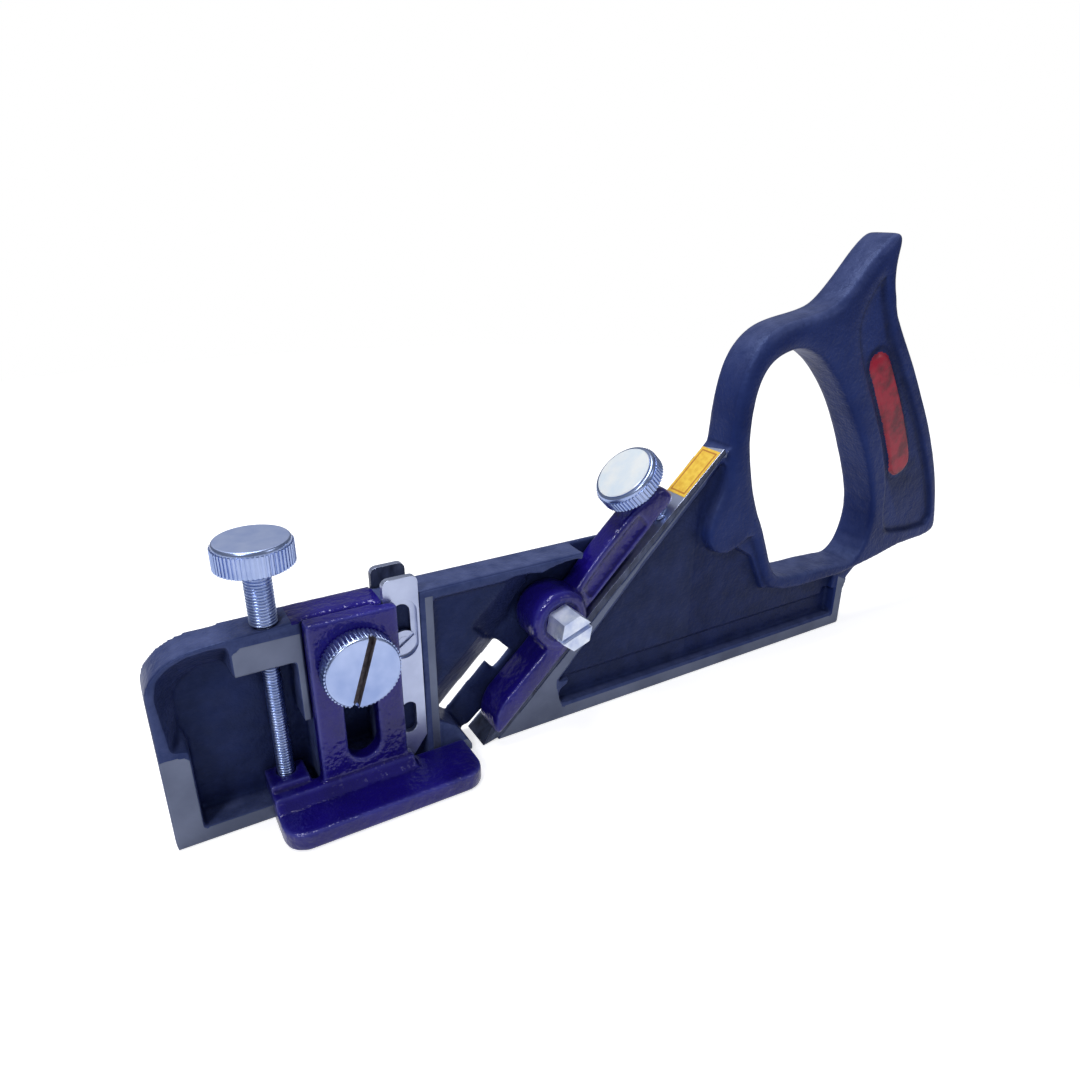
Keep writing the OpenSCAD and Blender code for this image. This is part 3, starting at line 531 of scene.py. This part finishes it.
def cast_copy(node, voxel, passes, freedom, most_faces):
    """A rounded copy of a CAD node. freedom(points) says how far each vertex may move, 0 to 1."""
    mesh = with_modifier(welded(node), "REMESH", mode="VOXEL", voxel_size=voxel)
    note_cavities(mesh)
    points = relaxed(mesh, passes, freedom(vectors(mesh.vertices, "co")))
    mesh.vertices.foreach_set("co", points.ravel())
    mesh.update()
    faces = len(mesh.polygons) * 2
    if faces > most_faces:
        mesh = with_modifier(mesh, "DECIMATE", ratio=most_faces / faces)
    mesh.shade_smooth()
    print(node, "rounded copy:", len(mesh.polygons), "faces")
    return mesh


def new_piece(name, mesh, body, node, materials):
    """A finished piece that moves with its body, in place of its CAD node."""
    piece = bpy.data.objects.new(name, mesh)
    bpy.context.scene.collection.objects.link(piece)
    mesh.materials.clear()
    for material in materials:
        mesh.materials.append(material)
    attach(piece, body)
    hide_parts(node)


# %% [markdown]
# The body. Its ground pads are the only parts of the near side that reach the full width, because
# the enamelled surfaces were cast a little lower. The handle's bow is rubbed round, its horn half as
# much, and its panel keeps the edges that the casting has.

# %% Body's shape
FLUSH = 0.04 * MM
GROUND_END_X = TOE_X + 158 * MM
GROUND_TOP_Z = 18 * MM
RAIL_ROUNDING = 0.06
HANDLE_ROUNDING = 0.06
PANEL_SPARED = 0.08
BOW_ROUNDING = 0.84
HORN_SHARE = 0.5
HANDLE_LOW_Z = 20 * MM
# Where each part of the handle starts and how far it takes to be in full, in mm
HANDLE_X = (140, 10)
PANEL_X = (203, 4)
BOW_Z = (44, 10)
BOW_X_BACKWARDS = (-202, 10)
HORN_Z = (104, 8)


def on_ground_face(points):
    """Whether points lie in the plane of a side or of the sole, away from the handle."""
    x, y, z = points.T
    in_handle = (x > GROUND_END_X) & (z > GROUND_TOP_Z)
    sides = (np.abs(np.abs(y) - SIDE_Y) < FLUSH) & ~in_handle
    sole = np.abs(z) < FLUSH
    return sides | sole


def rise(value, start, length):
    """0 up to the start, then rising to 1 over the length."""
    return np.clip((value - start) / length, 0, 1)


def body_freedom(points):
    """Ground faces are held, and the handle's bow is rubbed rounder than its panel and the rail."""
    x, y, z = points.T
    from_nose = (x - TOE_X) / MM
    height = z / MM
    in_handle = rise(from_nose, *HANDLE_X) * (z > HANDLE_LOW_Z)
    in_panel = in_handle * rise(from_nose, *PANEL_X) * (y < 0)
    in_bow = in_handle * rise(height, *BOW_Z) * rise(-from_nose, *BOW_X_BACKWARDS)
    on_horn = in_handle * rise(height, *HORN_Z)
    rounding = RAIL_ROUNDING + HANDLE_ROUNDING * in_handle - PANEL_SPARED * in_panel
    rounding = rounding + BOW_ROUNDING * np.maximum(in_bow, HORN_SHARE * on_horn)
    return np.where(on_ground_face(points), 0.0, rounding)


body_mesh = cast_copy("body", voxel=0.42 * MM, passes=120, freedom=body_freedom, most_faces=190000)

# %% [markdown]
# A face is bare iron where it lies in the plane of the side or of the sole, and enamel everywhere
# else. The raised panel on the handle is red, the rail's top above the gauge is ultramarine, and the
# narrow wall beside the near spur kept its enamel. The mesh is cut where those paints begin and end,
# so their borders are straight.

# %% Body's paint
NAVY, BARE, RED, BLUE = range(4)
FLAT = 0.97
NEAR_FACE_Y = -4 * MM
wall_x0, wall_x1 = 57.5, 58.9
blue_x0, blue_x1 = 29.5, 49.0
rail_top = 46.2 * MM
badge_axis = [(201.6, 84.8), (204.7, 80.0), (211.4, 68.8), (217.0, 57.3), (218.8, 52.0)]
badge_reach = 4.3 * MM
badge_y0, badge_y1 = -6.02 * MM, -5.05 * MM


def distance_to(line, points):
    """How far points lie from a line of (from toe, height) points, seen from the side."""
    nearest = np.full(len(points), np.inf)
    for (x0, z0), (x1, z1) in zip(line, line[1:]):
        start = np.array([TOE_X + x0 * MM, z0 * MM])
        step = np.array([x1 - x0, z1 - z0]) * MM
        place = points[:, [0, 2]] - start
        along = np.clip(place @ step / (step @ step), 0, 1)
        nearest = np.minimum(nearest, np.linalg.norm(place - along[:, None] * step, axis=1))
    return nearest


shape = bmesh.new()
shape.from_mesh(body_mesh)
for x in (wall_x0, wall_x1, blue_x0, blue_x1):
    bmesh.ops.bisect_plane(shape, geom=shape.verts[:] + shape.edges[:] + shape.faces[:],
                           plane_co=from_toe(x, 0, 0), plane_no=(1, 0, 0))
shape.to_mesh(body_mesh)
shape.free()
centres = vectors(body_mesh.polygons, "center")
normals = vectors(body_mesh.polygons, "normal")
from_nose = (centres[:, 0] - TOE_X) / MM
flat = (np.abs(normals[:, 1]) > FLAT) | (normals[:, 2] < -FLAT)
finish = np.where(on_ground_face(centres) & flat, BARE, NAVY)
on_badge = (centres[:, 1] < badge_y1) & (centres[:, 1] > badge_y0)
finish[(distance_to(badge_axis, centres) < badge_reach) & on_badge] = RED
finish[(centres[:, 2] > rail_top) & (from_nose > blue_x0) & (from_nose < blue_x1)] = BLUE
finish[(from_nose > wall_x0) & (from_nose < wall_x1) & (centres[:, 1] < NEAR_FACE_Y)] = NAVY
new_piece("casting", body_mesh, "casting", "body", [navy, iron, red, ultramarine])
body_mesh.polygons.foreach_set("material_index", finish.astype(np.int32))
print("faces in navy, bare, red and blue:", np.bincount(finish))

# %% [markdown]
# A darker ring runs round the red panel, and a line of painted shade along the rim of the handle's
# sunk panel. Both are added to the stored cavities, as the amount of a corner, and fade over about a
# millimetre.

# %% Painted shade along the handle's panel rim, and a darker ring round the red panel
RIM_SHADE = 1.25
RIM_WIDTH = 1.3 * MM
BADGE_DARKENING = 1.4
BADGE_DARKENING_AT = 4.9
BADGE_DARKENING_WIDTH = 0.9
HANDLE_FACE_Y = -4.5 * MM
panel_edge = [(216.4, 30.6), (218.2, 30.0), (228.0, 28.8), (236.8, 29.0), (238.8, 31.6), (238.4, 34.0),
              (235.6, 41.6), (230.4, 52.4), (222.6, 65.8), (212.8, 79.8), (203.8, 92.2), (198.8, 102.0),
              (197.0, 107.0)]
body_points = vectors(body_mesh.vertices, "co")
from_badge = distance_to(badge_axis, body_points) / MM
near_badge = np.clip(BADGE_DARKENING - np.abs(from_badge - BADGE_DARKENING_AT) / BADGE_DARKENING_WIDTH, 0, 1)
near_rim = np.clip(RIM_SHADE - distance_to(panel_edge, body_points) / RIM_WIDTH, 0, 1)
# Painted shade along the sunk panel's rim, and a darker ring round the red panel.
dark_line = np.maximum(near_rim, near_badge) * (body_points[:, 1] < HANDLE_FACE_Y)
cavity = np.empty(len(body_points))
body_mesh.attributes["cavity"].data.foreach_get("value", cavity)
body_mesh.attributes["cavity"].data.foreach_set("value", np.maximum(cavity, dark_line))
print("vertices in the dirt line:", int((dark_line > 0).sum()))

# %% [markdown]
# The lever cap and the depth gauge are small castings in a thick, glossy ultramarine. They are
# rounded the same way as the body, with a finer voxel and no face held.

# %% Blue castings
def all_free(points):
    """No vertex is held."""
    return np.ones(len(points))


lever_mesh = cast_copy("lever_cap", voxel=0.28 * MM, passes=90, freedom=all_free, most_faces=90000)
new_piece("lever_casting", lever_mesh, "lever", "lever_cap", [ultramarine])
gauge_mesh = cast_copy("depth_gauge", voxel=0.30 * MM, passes=20, freedom=all_free, most_faces=110000)
new_piece("gauge_casting", gauge_mesh, "gauge", "depth_gauge", [ultramarine])

# %% [markdown]
# Ground strip steel has crisp edges with a tiny bevel that catches the light. The CAD nodes already
# have the right shape, so they stay, with their loose triangles merged and their edges bevelled by
# modifiers. The far spur is dark but for its top, and the cutter is dark at its sides and its end.

# %% Steel strips
STRIP_BEVEL = 0.12 * MM
FAR_SPUR_BEVEL = 0.2 * MM
HEXAGON_BEVEL = 0.45 * MM
DARK_END = 7 * MM
DARK_SIDES_TOP = 50 * MM
FACES_UP = 0.2
FACES_SIDEWAYS = 0.7
FACES_DOWN = -0.5


def crisp(node, materials, width):
    """Gives a CAD node its materials and bevels its edges by the width."""
    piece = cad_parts[node]
    piece.data.materials.clear()
    for material in materials:
        piece.data.materials.append(material)
    weld = piece.modifiers.new("weld", "WELD")
    weld.merge_threshold = WELD_DISTANCE
    bevel = piece.modifiers.new("bevel", "BEVEL")
    bevel.width = width
    bevel.segments = 2
    bevel.limit_method = "ANGLE"
    bevel.angle_limit = radians(35)
    return piece.data.polygons


for name in ("near_spur", "near_spur_screw", "far_spur_screw"):
    crisp(name, [steel], STRIP_BEVEL)
crisp("lever_cap_pivot_screw", [bright], HEXAGON_BEVEL)
for face in crisp("far_spur", [dark, steel], FAR_SPUR_BEVEL):
    face.material_index = int(face.normal.z > FACES_UP)
for face in crisp("cutter", [steel, dark], STRIP_BEVEL):
    along = (face.center - on_bed(0, 0)).dot(ALONG_BED)
    side = abs(face.normal.y) > FACES_SIDEWAYS and face.center.z < DARK_SIDES_TOP
    face.material_index = int(side or face.normal.z < FACES_DOWN or along < DARK_END)
print("cutter's finishes:", [material.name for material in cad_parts["cutter"].data.materials])

# %% [markdown]
# The three finger screws are turned, knurled and threaded, then plated. A knurl and a thread repeat
# one small form many times, which is what Geometry Nodes are for. One group sets a ridge on each
# point of a circle, and the other sweeps a small round along a helix. Their inputs are named, so
# the same two groups serve every screw. Nothing in them is random, so they need no seed.

# %% Knurl and thread node groups
RIDGE_SIDES = 6
THREAD_STEPS = 28


def new_group(name, count, kind):
    """An empty Geometry Nodes group with the inputs that both groups need, and its count."""
    group = bpy.data.node_groups.new(name, "GeometryNodeTree")
    group.interface.new_socket(count, in_out="INPUT", socket_type=kind)
    for label in ("Radius", "Ridge Radius", "Height"):
        group.interface.new_socket(label, in_out="INPUT", socket_type="NodeSocketFloat")
    group.interface.new_socket("Material", in_out="INPUT", socket_type="NodeSocketMaterial")
    group.interface.new_socket("Mesh", in_out="OUTPUT", socket_type="NodeSocketGeometry")
    return group, group.nodes.new("NodeGroupInput"), group.nodes.new("NodeGroupOutput")


def finish_group(group, start, end, geometry):
    """Ends a group: real mesh instead of instances, smooth faces, and the material input."""
    real = group.nodes.new("GeometryNodeRealizeInstances")
    smooth = group.nodes.new("GeometryNodeSetShadeSmooth")
    paint = group.nodes.new("GeometryNodeSetMaterial")
    group.links.new(geometry, real.inputs["Geometry"])
    group.links.new(real.outputs["Geometry"], smooth.inputs["Geometry"])
    group.links.new(smooth.outputs["Geometry"], paint.inputs["Geometry"])
    group.links.new(start.outputs["Material"], paint.inputs["Material"])
    group.links.new(paint.outputs["Geometry"], end.inputs["Mesh"])


def knurl_group():
    """Upright ridges on a circle."""
    group, start, end = new_group("knurl", "Ridges", "NodeSocketInt")
    circle = group.nodes.new("GeometryNodeMeshCircle")
    ridge = group.nodes.new("GeometryNodeMeshCylinder")
    ridge.inputs["Vertices"].default_value = RIDGE_SIDES
    place = group.nodes.new("GeometryNodeInputPosition")
    facing = group.nodes.new("FunctionNodeAlignRotationToVector")
    facing.axis = "X"
    facing.pivot_axis = "Z"
    ring = group.nodes.new("GeometryNodeInstanceOnPoints")
    group.links.new(start.outputs["Ridges"], circle.inputs["Vertices"])
    group.links.new(start.outputs["Radius"], circle.inputs["Radius"])
    group.links.new(start.outputs["Ridge Radius"], ridge.inputs["Radius"])
    group.links.new(start.outputs["Height"], ridge.inputs["Depth"])
    group.links.new(place.outputs["Position"], facing.inputs["Vector"])
    group.links.new(circle.outputs["Mesh"], ring.inputs["Points"])
    group.links.new(ridge.outputs["Mesh"], ring.inputs["Instance"])
    group.links.new(facing.outputs["Rotation"], ring.inputs["Rotation"])
    finish_group(group, start, end, ring.outputs["Instances"])
    return group


def thread_group():
    """A small round swept along a helix."""
    group, start, end = new_group("thread", "Turns", "NodeSocketFloat")
    helix = group.nodes.new("GeometryNodeCurveSpiral")
    helix.inputs["Resolution"].default_value = THREAD_STEPS
    ridge = group.nodes.new("GeometryNodeCurvePrimitiveCircle")
    ridge.inputs["Resolution"].default_value = RIDGE_SIDES
    sweep = group.nodes.new("GeometryNodeCurveToMesh")
    group.links.new(start.outputs["Turns"], helix.inputs["Rotations"])
    group.links.new(start.outputs["Radius"], helix.inputs["Start Radius"])
    group.links.new(start.outputs["Radius"], helix.inputs["End Radius"])
    group.links.new(start.outputs["Height"], helix.inputs["Height"])
    group.links.new(start.outputs["Ridge Radius"], ridge.inputs["Radius"])
    group.links.new(helix.outputs["Curve"], sweep.inputs["Curve"])
    group.links.new(ridge.outputs["Curve"], sweep.inputs["Profile Curve"])
    finish_group(group, start, end, sweep.outputs["Mesh"])
    return group


def grown(group, **values):
    """The plain mesh that a group makes with these inputs, their names in lower case with _."""
    carrier = bpy.data.objects.new("carrier", bpy.data.meshes.new("carrier"))
    bpy.context.scene.collection.objects.link(carrier)
    modifier = carrier.modifiers.new("grow", "NODES")
    modifier.node_group = group
    for item in group.interface.items_tree:
        key = item.name.replace(" ", "_").lower()
        if key in values:
            modifier[item.identifier] = values[key]
    graph = bpy.context.evaluated_depsgraph_get()
    mesh = bpy.data.meshes.new_from_object(carrier.evaluated_get(graph))
    bpy.data.objects.remove(carrier)
    return mesh


knurl = knurl_group()
thread = thread_group()
print("node groups:", knurl.name, "and", thread.name)

# %% [markdown]
# Turned forms come from a profile in radius and height, swept round the axis. A screw is then a few
# such forms with its knurl and its threads, all joined in one mesh and stood on its own axis. Only
# the turned forms and the knurl keep sharp edges, because a thread's small round needs none.

# %% Turned forms
SHARP_ANGLE = radians(38)
THREAD_DEPTH = 0.30 * MM
THREAD_SINK = 0.02 * MM
THREAD_END = 0.4 * MM
RIDGE_RADIUS = 0.36 * MM
RIDGE_SPACING = 0.95 * MM
HEAD_BEVEL = 0.25 * MM
FACE_BEVEL = 0.2 * MM
CROWN_STEPS = 5


def turned(profile, steps=96):
    """A closed mesh from (radius, height) points in metres, bottom to top, round Z."""
    shape = bmesh.new()
    turns = [tau * i / steps for i in range(steps)]
    rings = [[shape.verts.new((radius * cos(turn), radius * sin(turn), height)) for turn in turns]
             for radius, height in profile]
    for low, high in zip(rings, rings[1:]):
        for i in range(steps):
            j = (i + 1) % steps
            face = shape.faces.new((low[i], low[j], high[j], high[i]))
            face.smooth = True
    shape.faces.new(rings[0][::-1])
    shape.faces.new(rings[-1])
    mesh = bpy.data.meshes.new("turned")
    shape.to_mesh(mesh)
    shape.free()
    mesh.set_sharp_from_angle(angle=SHARP_ANGLE)
    return mesh


def joined(name, parts):
    """One mesh from (mesh, matrix) pairs."""
    shape = bmesh.new()
    for mesh, matrix in parts:
        copy = mesh.copy()
        copy.transform(matrix)
        shape.from_mesh(copy)
        bpy.data.meshes.remove(copy)
    mesh = bpy.data.meshes.new(name)
    shape.to_mesh(mesh)
    shape.free()
    return mesh


def lifted(height):
    """A shift up the axis."""
    return Matrix.Translation((0, 0, height))


def threaded(radius, low, high):
    """A core and its thread from one height to another, as (mesh, matrix) pairs."""
    core = radius - THREAD_DEPTH
    body = turned([(core - THREAD_END, low), (core, low + THREAD_END),
                   (core, high - THREAD_END), (core - THREAD_END, high)], steps=32)
    length = high - low - 2 * THREAD_END
    ridge = grown(thread, turns=length / PITCH, radius=core - THREAD_SINK, ridge_radius=THREAD_DEPTH,
                  height=length, material=plated)
    return [(body, Matrix()), (ridge, lifted(low + THREAD_END))]


def knurled_head(radius, low, high, face, crown, groove):
    """A knurled head. face is the radius of its top face, crown the height of the smooth part above
    the knurl, and groove the depth of the ring round the face."""
    band_high = high - crown
    rim = radius - RIDGE_RADIUS
    profile = [(rim - HEAD_BEVEL, low), (rim, low + HEAD_BEVEL), (rim, band_high)]
    for i in range(1, CROWN_STEPS + 1):
        turn = pi / 2 * i / CROWN_STEPS
        profile.append((rim + (face + groove - rim) * (1 - cos(turn)),
                        band_high + (crown - groove) * sin(turn)))
    if groove > 0:
        profile += [(face, high - groove), (face, high - FACE_BEVEL)]
    profile += [(face - FACE_BEVEL, high), (face * 0.5, high)]
    height = band_high - low - HEAD_BEVEL
    teeth = grown(knurl, ridges=int(tau * radius / RIDGE_SPACING), radius=rim,
                  ridge_radius=RIDGE_RADIUS, height=height, material=plated)
    teeth.set_sharp_from_angle(angle=SHARP_ANGLE)
    return [(turned(profile), Matrix()), (teeth, lifted(low + HEAD_BEVEL + height / 2))]


def colour_top_face(mesh, place, radius, height):
    """The face of a head, inside the radius and above the height, gets the second material."""
    from_axis = place.inverted()
    for face in mesh.polygons:
        spot = from_axis @ face.center
        face.material_index = int(spot.z > height and spot.xy.length < radius)


print("a head has", CROWN_STEPS, "steps in its crown and a ridge every", RIDGE_SPACING / MM, "mm")

# %% [markdown]
# The depth adjusting screw stands in the toe's lug. Its thick shank shows above the rail, and the
# thinner tail runs down to the gauge. Its top is brushed.

# %% Depth adjusting screw
adjuster_place = Matrix.Translation(from_toe(24.7, -0.5, 0))
adjuster_parts = (threaded(radius=2.0 * MM, low=5.3 * MM, high=46.6 * MM)
                  + threaded(radius=2.95 * MM, low=46.3 * MM, high=59.9 * MM)
                  + knurled_head(radius=8.2 * MM, low=59.8 * MM, high=65.6 * MM,
                                 face=7.3 * MM, crown=1.0 * MM, groove=0))
adjuster_mesh = joined("adjuster", adjuster_parts)
adjuster_mesh.transform(adjuster_place)
new_piece("adjusting_screw", adjuster_mesh, "adjuster", "depth_adjusting_screw",
          [plated, brushed])
colour_top_face(adjuster_mesh, adjuster_place, radius=7.5 * MM, height=65.3 * MM)
print("adjusting screw:", len(adjuster_mesh.polygons), "faces")

# %% [markdown]
# The clamp screw lies across the plane, with a slot for a coin or a driver. The slot is cut through
# the knurled head by a box, and its walls hold dirt.

# %% Clamp screw
HEAD_TOP = 12.5 * MM
SLOT_WIDTH = 1.7 * MM
SLOT_DEPTH = 1.6 * MM
SLOT_LENGTH = 30 * MM
CLAMP_FACE = 7.9 * MM
FACE_SKIN = 0.05 * MM
clamp_place = Matrix.Translation(from_toe(41.4, 0, 35.4)) @ Matrix.Rotation(pi / 2, 4, "X")
clamp_head = joined("clamp_head", knurled_head(radius=8.6 * MM, low=7.7 * MM, high=HEAD_TOP,
                                               face=CLAMP_FACE, crown=0.5 * MM, groove=0))
slot_turn = Matrix.Rotation(radians(72), 4, "Z")
slot_size = Matrix.Diagonal((SLOT_LENGTH, SLOT_WIDTH, 2 * SLOT_DEPTH, 1))
slot_shape = bmesh.new()
bmesh.ops.create_cube(slot_shape, size=1, matrix=lifted(HEAD_TOP) @ slot_turn @ slot_size)
slot_mesh = bpy.data.meshes.new("slot")
slot_shape.to_mesh(slot_mesh)
slot_shape.free()
slot_tool = bpy.data.objects.new("slot_tool", slot_mesh)
bpy.context.scene.collection.objects.link(slot_tool)
clamp_head = with_modifier(clamp_head, "BOOLEAN", object=slot_tool, operation="DIFFERENCE",
                           solver="EXACT", use_self=True)
bpy.data.objects.remove(slot_tool)
clamp_shank = threaded(radius=3.0 * MM, low=-2.4 * MM, high=8.0 * MM)
clamp_mesh = joined("clamp", [(clamp_head, Matrix())] + clamp_shank)
clamp_mesh.transform(clamp_place)
new_piece("clamp_screw", clamp_mesh, "gauge_clamp", "depth_gauge_clamp_screw",
          [plated, slot_dirt])
slot_frame = (clamp_place @ slot_turn).inverted()
for face in clamp_mesh.polygons:
    along, across, height = slot_frame @ face.center
    in_head = HEAD_TOP - SLOT_DEPTH - FACE_SKIN < height < HEAD_TOP - FACE_SKIN
    in_slot = abs(across) < SLOT_WIDTH / 2 + FACE_SKIN and abs(along) < CLAMP_FACE
    face.material_index = int(in_head and in_slot)
print("clamp screw:", len(clamp_mesh.polygons), "faces")

# %% [markdown]
# The lever cap's screw stands square on the cutter. A ring is turned round its polished face, which
# is painted near white as a painted highlight.

# %% Thumb screw
thumb_place = (Matrix.Translation(on_bed(72.6, 0, CUTTER_MIDDLE_Y))
               @ OFF_BED.to_track_quat("Z", "Y").to_matrix().to_4x4())
thumb_parts = (threaded(radius=2.6 * MM, low=0.1 * MM, high=14.0 * MM)
               + knurled_head(radius=9.0 * MM, low=13.6 * MM, high=18.6 * MM,
                              face=7.5 * MM, crown=1.5 * MM, groove=0.4 * MM))
thumb_mesh = joined("thumb", thumb_parts)
thumb_mesh.transform(thumb_place)
new_piece("thumb_screw", thumb_mesh, "lever_screw", "lever_cap_thumb_screw",
          [plated, polished_and_highlit])
# Painted highlight: the polished face gets a near-white colour.
colour_top_face(thumb_mesh, thumb_place, radius=7.45 * MM, height=18.3 * MM)
print("thumb screw:", len(thumb_mesh.polygons), "faces")

# %% [markdown]
# The label is a bare yellow strip with a brown border line, on the cutter's upper face. Dot products
# with the bed's direction give the place along the strip, and Y gives the place across it, so the
# line follows the strip's edge at a set distance.

# %% Label
LABEL_MIDDLE = on_bed(87.25, 0, CUTTER_MIDDLE_Y)
LABEL_HALF_LENGTH = 7.75 * MM
LABEL_HALF_WIDTH = 3.6 * MM
LINE_INSET = 0.95 * MM
LINE_HALF_WIDTH = 0.24 * MM
INK_COVER = 0.8


def inside_edge(tree, place, axis, half):
    """How far the surface lies inside the label's two edges that are square to an axis."""
    dot = tree.nodes.new("ShaderNodeVectorMath")
    dot.operation = "DOT_PRODUCT"
    dot.inputs[1].default_value = axis
    tree.links.new(place, dot.inputs[0])
    off = calc(tree, "SUBTRACT", dot.outputs["Value"], LABEL_MIDDLE.dot(axis))
    return calc(tree, "SUBTRACT", half, calc(tree, "ABSOLUTE", off))


def label_paper():
    """Yellow paper with one line of brown ink along its edge."""
    material, tree, surface = shader("label_paper", (0.80, 0.46, 0.045), 0.42)
    place = tree.nodes.new("ShaderNodeTexCoord").outputs["Object"]
    margin = calc(tree, "MINIMUM", inside_edge(tree, place, ALONG_BED, LABEL_HALF_LENGTH),
                  inside_edge(tree, place, Vector((0, 1, 0)), LABEL_HALF_WIDTH))
    line = calc(tree, "COMPARE", margin, LINE_INSET, LINE_HALF_WIDTH)
    paper = ramp(tree, noise(tree, object_coordinates(tree), 700.0, 3.0),
                 [(0.3, (0.74, 0.42, 0.03)), (0.7, (0.90, 0.62, 0.07))])
    ink = ramp(tree, noise(tree, object_coordinates(tree), 900.0),
               [(0.3, (0.38, 0.10, 0.010)), (0.7, (0.46, 0.14, 0.014))])
    printed = mixed(tree, calc(tree, "MULTIPLY", line, INK_COVER), paper, ink)
    tree.links.new(printed, surface.inputs["Base Color"])
    return material


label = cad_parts["cutter_label"]
label.data.materials.clear()
label.data.materials.append(label_paper())
print("label:", label.data.materials[0].name)
